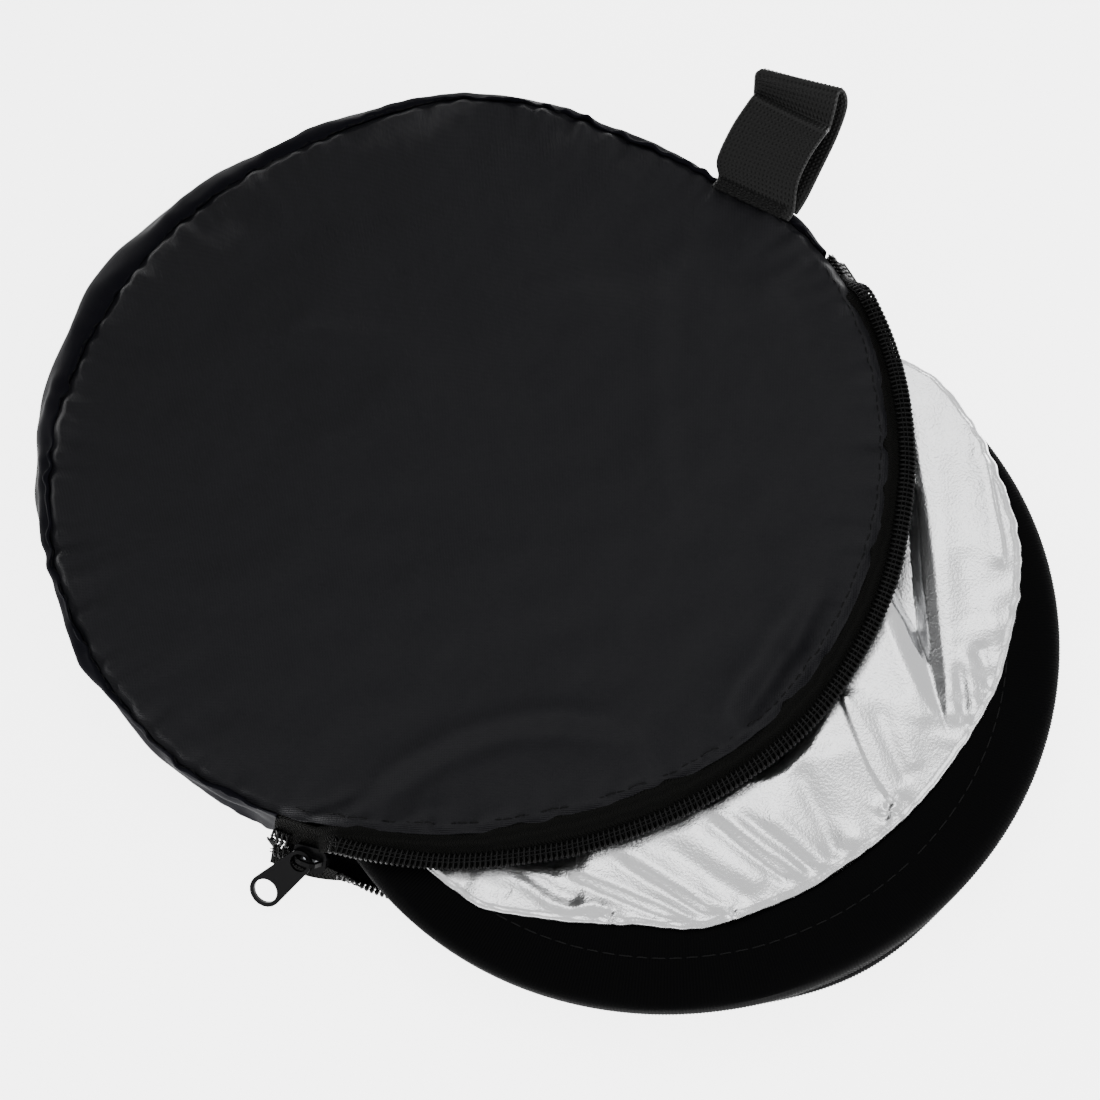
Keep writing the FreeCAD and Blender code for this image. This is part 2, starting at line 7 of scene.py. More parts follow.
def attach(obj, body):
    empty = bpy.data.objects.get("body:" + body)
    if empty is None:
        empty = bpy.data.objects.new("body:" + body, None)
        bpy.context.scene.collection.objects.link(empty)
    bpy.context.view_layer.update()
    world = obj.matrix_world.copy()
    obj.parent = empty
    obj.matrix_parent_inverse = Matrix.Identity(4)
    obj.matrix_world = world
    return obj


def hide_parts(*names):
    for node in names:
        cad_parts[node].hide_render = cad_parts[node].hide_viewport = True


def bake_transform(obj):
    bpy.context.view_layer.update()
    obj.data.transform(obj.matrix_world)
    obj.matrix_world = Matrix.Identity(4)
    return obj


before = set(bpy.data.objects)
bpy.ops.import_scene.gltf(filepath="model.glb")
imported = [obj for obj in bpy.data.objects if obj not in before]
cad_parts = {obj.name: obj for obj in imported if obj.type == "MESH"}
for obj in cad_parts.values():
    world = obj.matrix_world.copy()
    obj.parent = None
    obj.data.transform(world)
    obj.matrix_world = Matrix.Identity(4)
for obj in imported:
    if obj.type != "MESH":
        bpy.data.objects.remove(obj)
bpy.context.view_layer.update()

RNG = np.random.default_rng(7)
PI = math.pi
MM = 0.001


# ------------------------------------------------------------------ numeric helpers (all in millimetres)
def smooth(t):
    t = np.clip(t, 0.0, 1.0)
    return t * t * (3 - 2 * t)


class Noise:
    """Smooth random field: a sum of plane waves with wavelengths round `wave`."""

    def __init__(self, seed, wave, n=22, dims=2):
        r = np.random.default_rng(seed)
        k = r.normal(size=(n, dims))
        k /= np.linalg.norm(k, axis=1)[:, None]
        self.k = k * (2 * PI / (np.asarray(wave) * 1.0)) * r.uniform(0.6, 1.5, size=(n, 1))
        self.p = r.uniform(0, 2 * PI, n)
        self.n = n

    def __call__(self, *c):
        out = np.zeros(np.broadcast(*c).shape)
        for k, p in zip(self.k, self.p):
            out = out + np.cos(sum(a * b for a, b in zip(k, c)) + p)
        return out / math.sqrt(self.n / 2.0)


def periodic(deg, val, soft=2.0):
    """Smooth periodic function of an angle in degrees through the given values."""
    d = np.asarray(deg, float) % 360
    o = np.argsort(d)
    d, v = d[o], np.asarray(val, float)[o]
    g = np.arange(0, 360, 0.5)
    w = np.interp(g, np.r_[d[-1] - 360, d, d[0] + 360], np.r_[v[-1], v, v[0]])
    if soft:
        kk = np.arange(-40, 41) * 0.5
        ker = np.exp(-0.5 * (kk / soft) ** 2)
        ker /= ker.sum()
        w = np.convolve(np.r_[w[-40:], w, w[:40]], ker, "valid")
    return lambda x: np.interp(np.asarray(x) % 360, np.r_[g, 360], np.r_[w, w[0]])


def curve(pts, n, closed=False):
    """Catmull-Rom line through points, resampled to n points of equal length."""
    p = np.asarray(pts, float)
    m = len(p)
    q = np.vstack([p[-1], p, p[0], p[1]]) if closed else np.vstack([2 * p[0] - p[1], p, 2 * p[-1] - p[-2]])
    out = []
    for i in range(m if closed else m - 1):
        a, b, c, d = q[i], q[i + 1], q[i + 2], q[i + 3]
        t = np.linspace(0, 1, 24, endpoint=False)[:, None]
        out.append(0.5 * ((2 * b) + (c - a) * t + (2 * a - 5 * b + 4 * c - d) * t ** 2 + (3 * b - a - 3 * c + d) * t ** 3))
    out = np.vstack(out + ([p[:1]] if closed else [p[-1:]]))
    s = np.r_[0, np.cumsum(np.linalg.norm(np.diff(out, axis=0), axis=1))]
    u = np.linspace(0, s[-1], n)
    return np.stack([np.interp(u, s, out[:, k]) for k in range(out.shape[1])], 1)


def near(X, Y, pts):
    """Distance, side and share along a polyline for every (X, Y)."""
    best = np.full(X.shape, 1e9)
    side = np.zeros(X.shape)
    tt = np.zeros(X.shape)
    p = np.asarray(pts, float)
    seg = np.linalg.norm(np.diff(p, axis=0), axis=1)
    cum = np.r_[0, np.cumsum(seg)]
    for i in range(len(p) - 1):
        d = p[i + 1] - p[i]
        t = np.clip(((X - p[i, 0]) * d[0] + (Y - p[i, 1]) * d[1]) / (seg[i] ** 2), 0, 1)
        ex, ey = X - p[i, 0] - t * d[0], Y - p[i, 1] - t * d[1]
        r = np.hypot(ex, ey)
        s = np.sign(d[0] * ey - d[1] * ex)
        k = r < best
        best, side, tt = np.where(k, r, best), np.where(k, s, side), np.where(k, (cum[i] + t * seg[i]) / cum[-1], tt)
    return best, side, tt


def fold(X, Y, pts, amp, w0, w1=None, sharp=1.0, lead=0.0, tail=0.0):
    """A ridge (amp > 0) or a valley along a line, that narrows from w0 to w1 and fades out at its ends."""
    d, s, t = near(X, Y, pts)
    w = w0 + ((w1 if w1 is not None else w0) - w0) * t
    fade = (smooth(t / lead) if lead else 1.0) * (smooth((1 - t) / tail) if tail else 1.0)
    return amp * fade * np.exp(-np.power(d / w, 2.0 * sharp))


def step(X, Y, pts, amp, w, reach):
    """A doubled edge: the cloth on the left of the line stands higher by amp near it."""
    d, s, t = near(X, Y, pts)
    return amp * (0.5 + 0.5 * np.tanh(d * s / w)) * np.exp(-(d / reach) ** 2) * smooth(t / 0.12) * smooth((1 - t) / 0.12)


# ------------------------------------------------------------------ mesh helpers
def obj_from(name, verts, quads, uv=None, tris=None, flat=False):
    me = bpy.data.meshes.new(name)
    faces = [tuple(q) for q in np.asarray(quads).tolist()]
    if tris is not None and len(tris):
        faces += [tuple(t) for t in np.asarray(tris).tolist()]
    me.from_pydata((np.asarray(verts) * MM).tolist(), [], faces)
    if uv is not None:
        layer = me.uv_layers.new(name="UVMap")
        idx = np.zeros(len(me.loops), np.int32)
        me.loops.foreach_get("vertex_index", idx)
        layer.data.foreach_set("uv", np.asarray(uv, np.float32)[idx].ravel())
    me.polygons.foreach_set("use_smooth", np.full(len(me.polygons), not flat))
    me.update()
    o = bpy.data.objects.new(name, me)
    bpy.context.scene.collection.objects.link(o)
    return o


def quads_of(nu, nv, wrap_u=False, wrap_v=False, base=0, flip=False):
    i = np.arange(nu if wrap_u else nu - 1)
    j = np.arange(nv if wrap_v else nv - 1)
    I, J = np.meshgrid(i, j, indexing="ij")
    I2, J2 = (I + 1) % nu, (J + 1) % nv
    q = np.stack([I * nv + J, I2 * nv + J, I2 * nv + J2, I * nv + J2], -1).reshape(-1, 4) + base
    return q[:, ::-1] if flip else q


def normals_of(P, wrap_u=False, wrap_v=False):
    du = (np.roll(P, -1, 0) - np.roll(P, 1, 0)) if wrap_u else np.gradient(P, axis=0)
    dv = (np.roll(P, -1, 1) - np.roll(P, 1, 1)) if wrap_v else np.gradient(P, axis=1)
    n = np.cross(du, dv)
    return n / np.maximum(np.linalg.norm(n, axis=-1, keepdims=True), 1e-9)


def cloth(name, P, thick, wrap_u=False, uv=None, N=None, side=1.0):
    """A closed thin shell: grid P (nu, nv, 3) is its outer face, and the inner face lies `thick` behind it."""
    nu, nv = P.shape[:2]
    if N is None:
        N = normals_of(P, wrap_u)
    Q = P - N * thick * side
    V = np.vstack([P.reshape(-1, 3), Q.reshape(-1, 3)])
    m = nu * nv
    F = [quads_of(nu, nv, wrap_u, flip=side < 0), quads_of(nu, nv, wrap_u, base=m, flip=side > 0)]
    ii = np.arange(nu if wrap_u else nu - 1)
    i2 = (ii + 1) % nu
    for j, fl in ((0, side > 0), (nv - 1, side < 0)):
        q = np.stack([ii * nv + j, i2 * nv + j, i2 * nv + j + m, ii * nv + j + m], -1)
        F.append(q[:, ::-1] if fl else q)
    if not wrap_u:
        jj = np.arange(nv - 1)
        for i, fl in ((0, side < 0), (nu - 1, side > 0)):
            q = np.stack([i * nv + jj, i * nv + jj + 1, i * nv + jj + 1 + m, i * nv + jj + m], -1)
            F.append(q[:, ::-1] if fl else q)
    if uv is not None:
        uv = np.vstack([uv.reshape(-1, 2)] * 2)
    return obj_from(name, V, np.vstack(F), uv)


def frames(C, up=(0, 0, 1), closed=False):
    T = (np.roll(C, -1, 0) - np.roll(C, 1, 0)) if closed else np.gradient(C, axis=0)
    T /= np.maximum(np.linalg.norm(T, axis=1, keepdims=True), 1e-9)
    U = np.asarray(up, float) * np.ones_like(C)
    S = np.cross(T, U)
    S /= np.maximum(np.linalg.norm(S, axis=1, keepdims=True), 1e-9)
    return T, S, np.cross(S, T)


def tube(C, r, sides=8, closed=False, caps=True, up=(0, 0, 1), N=None, squash=1.0):
    """Verts and faces of a tube round the line C."""
    T, S, W = frames(C, up, closed)
    a = np.arange(sides) * 2 * PI / sides
    r = np.asarray(r, float) * np.ones(len(C))
    P = C[:, None] + r[:, None, None] * (S[:, None] * np.cos(a)[None, :, None] + W[:, None] * np.sin(a)[None, :, None] * squash)
    n = len(C)
    F = quads_of(n, sides, closed, True)
    V = P.reshape(-1, 3)
    tr = []
    if caps and not closed:
        V = np.vstack([V, C[:1], C[-1:]])
        k = np.arange(sides)
        k2 = (k + 1) % sides
        tr = np.vstack([np.stack([k, k2, np.full(sides, n * sides)], 1),
                        np.stack([(n - 1) * sides + k2, (n - 1) * sides + k, np.full(sides, n * sides + 1)], 1)])
    return V, F, tr


def join_parts(name, parts):
    V, F, T, b = [], [], [], 0
    for v, f, t in parts:
        V.append(v)
        F.append(np.asarray(f) + b)
        if len(t):
            T.append(np.asarray(t) + b)
        b += len(v)
    return obj_from(name, np.vstack(V), np.vstack(F), tris=np.vstack(T) if T else None)


# ------------------------------------------------------------------ materials
def material(name, color, rough, metallic=0.0, spec=0.5, sheen=0.0, coat=0.0):
    m = bpy.data.materials.new(name)
    m.use_nodes = True
    nt = m.node_tree
    b = nt.nodes["Principled BSDF"]
    b.inputs["Base Color"].default_value = (*color, 1)
    b.inputs["Roughness"].default_value = rough
    b.inputs["Metallic"].default_value = metallic
    b.inputs["Specular IOR Level"].default_value = spec
    if sheen:
        b.inputs["Sheen Weight"].default_value = sheen
        b.inputs["Sheen Roughness"].default_value = 0.45
    if coat:
        b.inputs["Coat Weight"].default_value = coat
        b.inputs["Coat Roughness"].default_value = 0.08
    return m, nt, b


def math_node(nt, op, a, b=None):
    n = nt.nodes.new("ShaderNodeMath")
    n.operation = op
    for i, v in enumerate((a, b)):
        if v is None:
            continue
        if isinstance(v, (int, float)):
            n.inputs[i].default_value = v
        else:
            nt.links.new(v, n.inputs[i])
    return n.outputs[0]


def bump(nt, b, height, strength, dist, under=None):
    n = nt.nodes.new("ShaderNodeBump")
    n.inputs["Strength"].default_value = strength
    n.inputs["Distance"].default_value = dist
    nt.links.new(height, n.inputs["Height"])
    if under is not None:
        nt.links.new(under, n.inputs["Normal"])
    nt.links.new(n.outputs[0], b.inputs["Normal"])
    return n.outputs[0]


def uv_axes(nt):
    c = nt.nodes.new("ShaderNodeTexCoord")
    s = nt.nodes.new("ShaderNodeSeparateXYZ")
    nt.links.new(c.outputs["UV"], s.inputs[0])
    return s.outputs[0], s.outputs[1]


def weave(nt, b, pitch, strength, dist, under=None):
    """Plain weave of that thread pitch, in the UV's millimetres."""
    u, v = uv_axes(nt)
    k = 2 * PI / pitch
    su = math_node(nt, "SINE", math_node(nt, "MULTIPLY", u, k))
    sv = math_node(nt, "SINE", math_node(nt, "MULTIPLY", v, k))
    return bump(nt, b, math_node(nt, "MULTIPLY", su, sv), strength, dist, under)


def grain(nt, b, scale, strength, dist, detail=3.0, under=None):
    c = nt.nodes.new("ShaderNodeTexCoord")
    n = nt.nodes.new("ShaderNodeTexNoise")
    n.inputs["Scale"].default_value = scale
    n.inputs["Detail"].default_value = detail
    nt.links.new(c.outputs["Object"], n.inputs["Vector"])
    return bump(nt, b, n.outputs["Fac"], strength, dist, under)


M = {}
m, nt, b = material("bag_nylon", (0.0042, 0.0042, 0.0061), 0.52, spec=0.24)
g = grain(nt, b, 900.0, 0.25, 0.00012)
weave(nt, b, 0.62, 0.75, 0.00009, g)
M["bag_nylon"] = m
m, nt, b = material("wall_nylon", (0.0052, 0.0052, 0.0074), 0.55, spec=0.022)
weave(nt, b, 0.62, 0.35, 0.00005)
M["wall_nylon"] = m
m, nt, b = material("zip_tape", (0.0062, 0.0062, 0.0056), 0.80, spec=0.10)
u, v = uv_axes(nt)
zig = math_node(nt, "ABSOLUTE", math_node(nt, "SINE", math_node(nt, "MULTIPLY", v, PI / 2.6)))
her = math_node(nt, "SINE", math_node(nt, "ADD", math_node(nt, "MULTIPLY", u, 2 * PI / 1.05), math_node(nt, "MULTIPLY", zig, 6.5)))
bump(nt, b, her, 1.0, 0.00034)
M["zip_tape"] = m
m, nt, b = material("zip_coil", (0.0026, 0.0026, 0.0026), 0.26, spec=0.15)
M["zip_coil"] = m
m, nt, b = material("thread", (0.0038, 0.0038, 0.004), 0.6, spec=0.14)
grain(nt, b, 2500.0, 0.4, 0.00006)
M["thread"] = m
m, nt, b = material("webbing", (0.0036, 0.0036, 0.0035), 0.48, spec=0.24)
u, v = uv_axes(nt)
fib = math_node(nt, "SINE", math_node(nt, "MULTIPLY", u, 2 * PI / 0.22))
bump(nt, b, fib, 0.25, 0.00003)
M["webbing"] = m
m, nt, b = material("rim_ribbon", (0.0014, 0.0014, 0.0016), 0.70, spec=0.045)
grain(nt, b, 2600.0, 0.5, 0.00008)
M["rim_ribbon"] = m
m, nt, b = material("silver_face", (0.90, 0.905, 0.915), 0.28, metallic=1.0)
c = nt.nodes.new("ShaderNodeTexCoord")
vo = nt.nodes.new("ShaderNodeTexVoronoi")
vo.inputs["Scale"].default_value = 900.0
nt.links.new(c.outputs["Object"], vo.inputs["Vector"])
b1 = bump(nt, b, vo.outputs["Distance"], 0.07, 0.00018)
grain(nt, b, 1500.0, 0.55, 0.00022, 2.0, b1)
M["silver_face"] = m
m, nt, b = material("white_face", (0.74, 0.745, 0.75), 0.6, spec=0.4)
weave(nt, b, 0.45, 0.4, 0.00005)
M["white_face"] = m
m, nt, b = material("spring_steel", (0.33, 0.34, 0.36), 0.32, metallic=1.0)
grain(nt, b, 1200.0, 0.2, 0.00003)
M["spring_steel"] = m
m, nt, b = material("splice_steel", (0.5, 0.5, 0.52), 0.36, metallic=1.0)
grain(nt, b, 1500.0, 0.2, 0.00003)
M["splice_steel"] = m
m, nt, b = material("slider_enamel", (0.0030, 0.0030, 0.0033), 0.26, spec=0.07)
grain(nt, b, 260.0, 0.12, 0.00012, 2.0)
M["slider_enamel"] = m


def dress(o, mat, body):
    o.data.materials.clear()
    o.data.materials.append(M[mat])
    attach(o, body)
    return o


# rigid CAD nodes keep their meshes, with a small bevel for the cast and stamped edges
for n, w in (("zip_slider_body", 0.22), ("zip_slider_crown", 0.28), ("slider_lock_pawl", 0.06), ("pull_tab", 0.2),
             ("spring_hoop", 0.1), ("hoop_splice_sleeve", 0.1)):
    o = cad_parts[n]
    o.data.materials.clear()
    o.data.materials.append(M["spring_steel" if n in ("spring_hoop", "slider_lock_pawl") else
                              "splice_steel" if n == "hoop_splice_sleeve" else "slider_enamel"])
    if w and n != "spring_hoop":
        md = o.modifiers.new("edge", "BEVEL")
        md.width = w * MM
        md.segments = 3
        md.limit_method = "ANGLE"
        md.angle_limit = math.radians(35)
    o.data.polygons.foreach_set("use_smooth", np.full(len(o.data.polygons), False))

# ------------------------------------------------------------------ outlines of the bag, by plan angle in degrees
SEAM = periodic(
    [135.9, 149.5, 162.3, 175.2, 187, 198.8, 209.3, 218.5, 227.6, 236.8, 246.2, 256.6, 265.5, 276, 285.7, 294.5, 302.7,
     310.9, 317.6, 327, 337.9, 348.9, 357.5, 4.2, 13.6, 24, 34.2, 43, 52, 63, 71.1, 81.1, 97.6, 111.9, 122.1],
    [120.5, 118.9, 117.9, 120.4, 121.4, 122.0, 122.9, 123.4, 123.2, 122.8, 122.1, 121.2, 120.7, 121.1, 119.8, 118.7, 116.5,
     116.3, 116.4, 116.0, 117.6, 120.4, 122.2, 122.6, 122.3, 121.6, 121.4, 121.2, 120.6, 120.6, 119.9, 117.4, 111.4, 111.9, 115.6], 2.5)
BELLY = periodic(
    [75, 84, 92, 102, 112, 122, 132, 142, 152, 163, 179, 191.4, 201, 210, 218.4, 227, 236, 245, 255, 267, 281, 289],
    [120.6, 118.8, 114.6, 112.8, 115.2, 118.6, 124.2, 125.8, 126.3, 128.4, 132.4, 135.8, 134.2, 131.2, 131.6, 130.2, 125.8, 125.0, 124.6, 121.2, 118.8, 119.6], 3.0)
HEM = periodic(
    [0, 60, 75, 100, 130, 163, 180, 200, 220, 250, 280, 300, 330],
    [121, 120.4, 119.2, 117.8, 119.0, 122.5, 125.5, 126.5, 124.8, 121.8, 119.0, 119.6, 121], 6.0)
CHAIN = periodic(
    [294, 301.2, 305.8, 312.3, 323.6, 336.2, 346.8, 355.1, 4.1, 14.1, 24.1, 35.2, 45.1, 53.8, 61.5, 70.4, 90, 180, 270],
    [121.0, 122.5, 122.8, 123.6, 124.1, 125.7, 127.0, 128.4, 129.6, 128.6, 127.8, 125.9, 125.2, 124.4, 123.7, 122.4, 122, 124, 121], 2.0)
W0, W1 = 75.5, 290.5                       # the wall's ends, plan degrees
A0, A1 = W0 - 144.4, W0 - 0.8              # the mouth's ends


def openness(phi):
    return np.minimum(smooth((phi + 63.8) / 4.6), smooth((71.0 - phi) / 8.0))


# ------------------------------------------------------------------ bag: top panel
n1, n2, n3 = Noise(3, 62.0), Noise(4, 24.0), Noise(5, 9.0)
pucker = Noise(6, 9.0, 26, 1)
pucker2 = Noise(61, 17.0, 26, 1)


def panel_height(X, Y, r, Rr, phi):
    """Height of the top panel's outer face."""
    q = r / Rr
    z = 22.3 + 1.9 * (1 - q ** 2)
    z += 0.30 * n1(X, Y) + 0.16 * n2(X, Y) + 0.035 * n3(X, Y)
    # the disc inside lifts the right half; behind its edge the cloth sinks a little
    edge = np.hypot(X - 83.6, Y) - 105.3
    z -= 1.1 * smooth(edge / 26.0) * (1 - smooth((q - 0.72) / 0.25))
    z += fold(X, Y, [(-86, -48), (-78, -38), (-72.8, -26.8), (-68.3, -15.2), (-59.9, -4.1), (-45.8, 5.0), (-28.6, 9.7), (-12, 9)], 1.25, 8, 9, 1, 0.25, 0.3)
    z -= fold(X, Y, [(-80, -60), (-60, -36), (-48, -20), (-34, -8), (-16, -4)], 0.55, 11, 11, 1, 0.3, 0.3)
    z += fold(X, Y, [(-2.5, 83.3), (14.9, 63), (31, 46.8), (46, 34.7), (59.4, 23.7), (66, 12)], 0.5, 3.2, 4.2, 1, 0.2, 0.3)
    z -= fold(X, Y, [(4, 88), (22, 67), (38, 51), (53, 39), (66, 27)], 0.35, 4, 5, 1, 0.2, 0.3)
    # fold at the right end of the mouth's lower half
    z -= fold(X, Y, [(118.2, -8), (114.3, 3.1), (112.3, 13.7), (110.2, 23.7), (106.8, 35.5), (103, 46)], 1.9, 3.0, 3.4, 1, 0.15, 0.35)
    z += fold(X, Y, [(113, -14), (109.0, 0), (106.6, 12), (104.4, 24), (101, 36)], 1.0, 3.4, 4.2, 1, 0.2, 0.35)
    z += fold(X, Y, [(119.5, 3), (118.2, 14), (116.8, 24), (113.6, 34)], 0.9, 2.4, 3.0, 1, 0.2, 0.3)
    for a, l, am in ((-14, 26, 0.6), (-6, 22, 0.75), (3, 17, 0.6), (11, 21, 0.8), (19, 16, 0.55), (27, 18, 0.6)):
        c, s = math.cos(math.radians(a)), math.sin(math.radians(a))
        z -= fold(X, Y, [(123 * c, 123 * s), ((123 - l) * c + 2, (123 - l) * s - 3)], am, 1.5, 2.6, 1, 0, 0.5)
        c, s = math.cos(math.radians(a + 3.8)), math.sin(math.radians(a + 3.8))
        z += fold(X, Y, [(122 * c, 122 * s), ((122 - l) * c + 2, (122 - l) * s - 3)], am * 0.6, 1.6, 2.4, 1, 0, 0.5)
    # arch where the cloth goes down to the zip
    arch = [(48, -97), (56.6, -90.3), (58.6, -75.3), (62.8, -61.8), (70.3, -48.4), (79.5, -37.8), (88.5, -31.7), (97.7, -29.0), (108, -31)]
    z += fold(X, Y, arch, 1.15, 3.6, 3.2, 1, 0.12, 0.25)
    z -= fold(X, Y, [(62, -92), (64.5, -76), (68.8, -63), (76, -51), (84.5, -41.5), (93, -36), (103, -36)], 1.0, 3.8, 3.4, 1, 0.15, 0.25)
    z -= fold(X, Y, [(47, -108), (52, -100), (55.1, -92), (56, -84)], 0.9, 1.9, 2.6, 1, 0, 0.4)
    z += fold(X, Y, [(51, -106), (56.4, -97), (59.4, -88)], 0.7, 1.8, 2.4, 1, 0, 0.4)
    for pts, am in (([(68, -95), (72, -84), (79, -72)], 0.5), ([(84, -82), (86, -72), (92, -60)], 0.5),
                    ([(98, -66), (98, -57), (102, -47)], 0.5), ([(108, -48), (106, -40), (110, -30)], 0.45)):
        z += fold(X, Y, pts, am, 2.0, 3.2, 1, 0, 0.5)
    # wrinkles near the left seam and the hang loop
    for pts, am in (([(-113.8, 5.6), (-100, 1), (-84, -8)], 0.45), ([(-112, 18), (-99, 16), (-86, 11)], 0.4),
                    ([(-96, 66), (-84, 58), (-72, 52)], 0.35), ([(-60, 98), (-53, 86), (-50, 74)], 0.35),
                    ([(-6, 112), (-4, 98), (4, 84)], 0.5), ([(14, 114), (14, 100), (20, 88)], 0.45),
                    ([(30, 108), (28, 97), (32, 86)], 0.5), ([(-90, -74), (-78, -66), (-66, -62)], 0.4),
                    ([(-52, -104), (-46, -92), (-42, -80)], 0.45), ([(-16, -116), (-12, -102), (-10, -90)], 0.4),
                    ([(14, -114), (16, -103), (14, -92)], 0.45)):
        z += fold(X, Y, pts, am, 2.2, 4.0, 1, 0, 0.5)
    # gathers along the seam
    s = np.radians(phi) * 120.0
    inn = Rr - r
    z += (0.26 * pucker(s) + 0.26 * pucker2(s)) * np.exp(-(inn / 8.0) ** 1.6) * smooth(inn / 1.6)
    z -= 1.35 * smooth((3.0 - inn) / 3.0) ** 1.6
    return z


NR, NP = 128, 620
phi = np.arange(NP) * 360.0 / NP
wave = 0.25 * pucker(np.radians(phi) * 120.0)
onmouth = smooth((((phi + 180) % 360 - 180) + 72) / 10) * smooth((78 - ((phi + 180) % 360 - 180)) / 10)
wave = wave * (1 - 0.8 * onmouth)
Rr = SEAM(phi) + 0.6 * wave
q = 1 - (1 - np.linspace(0, 1, NR)) ** 1.35
q[0] = 0.0002
q[1] = 0.0009
r = q[None, :] * Rr[:, None]
PH = phi[:, None] + 0 * r
X, Y = r * np.cos(np.radians(PH)), r * np.sin(np.radians(PH))
Z = panel_height(X, Y, r, Rr[:, None], PH)
TOP = np.stack([X, Y, Z], -1)
Nrm = normals_of(TOP, True)
Nrm *= np.sign(Nrm[..., 2:3])
TOP[:, :2, 2] = TOP[:, 2, 2].mean()
pole = Nrm[:, 3].mean(0)
Nrm[:, :3] = pole / np.linalg.norm(pole)
top = cloth("bag_top_cloth", TOP[::-1], 0.4, True, np.stack([X, Y], -1)[::-1], Nrm[::-1], 1.0)
dress(top, "bag_nylon", "bag")
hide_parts("bag_top_panel")
SEAM_Z = {}


def seam_point(ph, inset=0.0):
    """Point on the top panel's edge."""
    Rx = SEAM(ph) + 0.15 * pucker(np.radians(ph % 360) * 120.0)
    return Rx - inset


# ------------------------------------------------------------------ bag: side wall with its wrinkles
n4, n5 = Noise(11, 1.0, 26), Noise(12, 1.0, 26)
NU, NV = 900, 54
ph = np.linspace(W0 - 0.9, W1 + 0.6, NU)
v = np.linspace(0, 1, NV)
Rt, Rb, Rh = seam_point(ph), BELLY(ph), HEM(ph)
end = smooth((ph - W0 + 0.9) / 7.0) * smooth((W1 + 0.6 - ph) / 9.0)
Rb = Rb * end + (1 - end) * np.minimum(Rb, 124.2)
ctrl = [(Rt + 0.15, 20.9 + 0 * ph), (Rt + 0.8, 21.75 + 0 * ph), (Rt + 0.55 * (Rb - Rt) + 1.0, 19.6 + 0 * ph), (Rb - 0.6, 14.6 + 0 * ph), (Rb, 9.0 + 0 * ph),
        (0.5 * (Rb + Rh) + 0.9, 4.4 + 0 * ph), (Rh + 1.0, 1.7 + 0 * ph), (Rh - 0.6, 0.75 + 0 * ph)]
C = np.stack([np.stack([a, b2], -1) for a, b2 in ctrl], 1)       # (NU, 8, 2)
P2 = np.zeros((NU, NV, 2))
tt = v * (len(ctrl) - 1)
pad = np.concatenate([2 * C[:, :1] - C[:, 1:2], C, 2 * C[:, -1:] - C[:, -2:-1]], 1)
for j, t in enumerate(tt):
    i = min(int(t), len(ctrl) - 2)
    f = t - i
    a, b2, c2, d2 = pad[:, i], pad[:, i + 1], pad[:, i + 2], pad[:, i + 3]
    P2[:, j] = 0.5 * (2 * b2 + (c2 - a) * f + (2 * a - 5 * b2 + 4 * c2 - d2) * f ** 2 + (3 * b2 - a - 3 * c2 + d2) * f ** 3)
s = np.radians(ph)[:, None] * 127.0
vv = v[None, :] * 31.0
long_w = 0.80 * n4(s / 60.0, vv / 11.0 + s / 160.0) + 0.22 * n5(s / 24.0, vv / 6.5)
mid = smooth(v[None, :] / 0.22) * smooth((1 - v[None, :]) / 0.2)
gather = (0.42 * pucker(s) + 0.36 * pucker2(s)) * np.exp(-(v[None, :] / 0.2) ** 2) * smooth(v[None, :] / 0.05)
gather2 = (0.6 * Noise(14, 8.0, 20, 1)(s)) * np.exp(-((1 - v[None, :]) / 0.16) ** 2) * smooth((1 - v[None, :]) / 0.05)
amp = 0.55 + 0.45 * end[:, None]
dr = (long_w * mid * end[:, None] + gather * 0.8 + gather2 * 0.7) * amp
dz = 0.25 * gather
R2, Z2 = P2[..., 0] + dr, np.maximum(P2[..., 1] + dz * 0.6, 0.55)
ca, sa = np.cos(np.radians(ph))[:, None], np.sin(np.radians(ph))[:, None]
WALL = np.stack([R2 * ca, R2 * sa, Z2], -1)
Nw = normals_of(WALL)
out = np.stack([ca + 0 * R2, sa + 0 * R2, 0 * R2], -1)
Nw *= np.sign((Nw * out).sum(-1, keepdims=True) + 1e-6 + 0 * Nw[..., :1]) if False else 1.0
if (Nw * out).sum() < 0:
    Nw = -Nw
wall = cloth("bag_wall_cloth", WALL, 0.4, False, np.stack([s + 0 * vv, vv + 0 * s], -1), Nw, 1.0)
dress(wall, "wall_nylon", "bag")
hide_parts("bag_side_wall")

# ------------------------------------------------------------------ bag: bottom panel
NR2, NP2 = 40, 360
ph2 = np.arange(NP2) * 360.0 / NP2
rh = np.minimum(HEM(ph2), 123.5) - 0.6
mouth = smooth((ph2 - 291) / 4.0) + smooth((74 - ph2) / 4.0)
rh = rh * (1 - np.clip(mouth, 0, 1)) + 119.6 * np.clip(mouth, 0, 1)
qq = np.linspace(0.0004, 1, NR2)
r = qq[None, :] * rh[:, None]
PX, PY = r * np.cos(np.radians(ph2))[:, None], r * np.sin(np.radians(ph2))[:, None]
PZ = 0.42 + 0.22 * np.clip(n2(PX + 40, PY) * 0.5 + 0.4, 0, 1.6) * smooth((1 - qq[None, :]) / 0.1)
BOT = np.stack([PX, PY, PZ], -1)
bot = cloth("bag_bottom_cloth", BOT, 0.4, True, np.stack([PX, PY], -1), np.zeros_like(BOT) + np.array([0, 0, 1.0]), 1.0)
dress(bot, "bag_nylon", "bag")
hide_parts("bag_bottom_panel")

# ------------------------------------------------------------------ zip: tapes, coils, sewing
E, T = 119.0, 21.1


def mix(a, b, k):
    return a + (b - a) * k


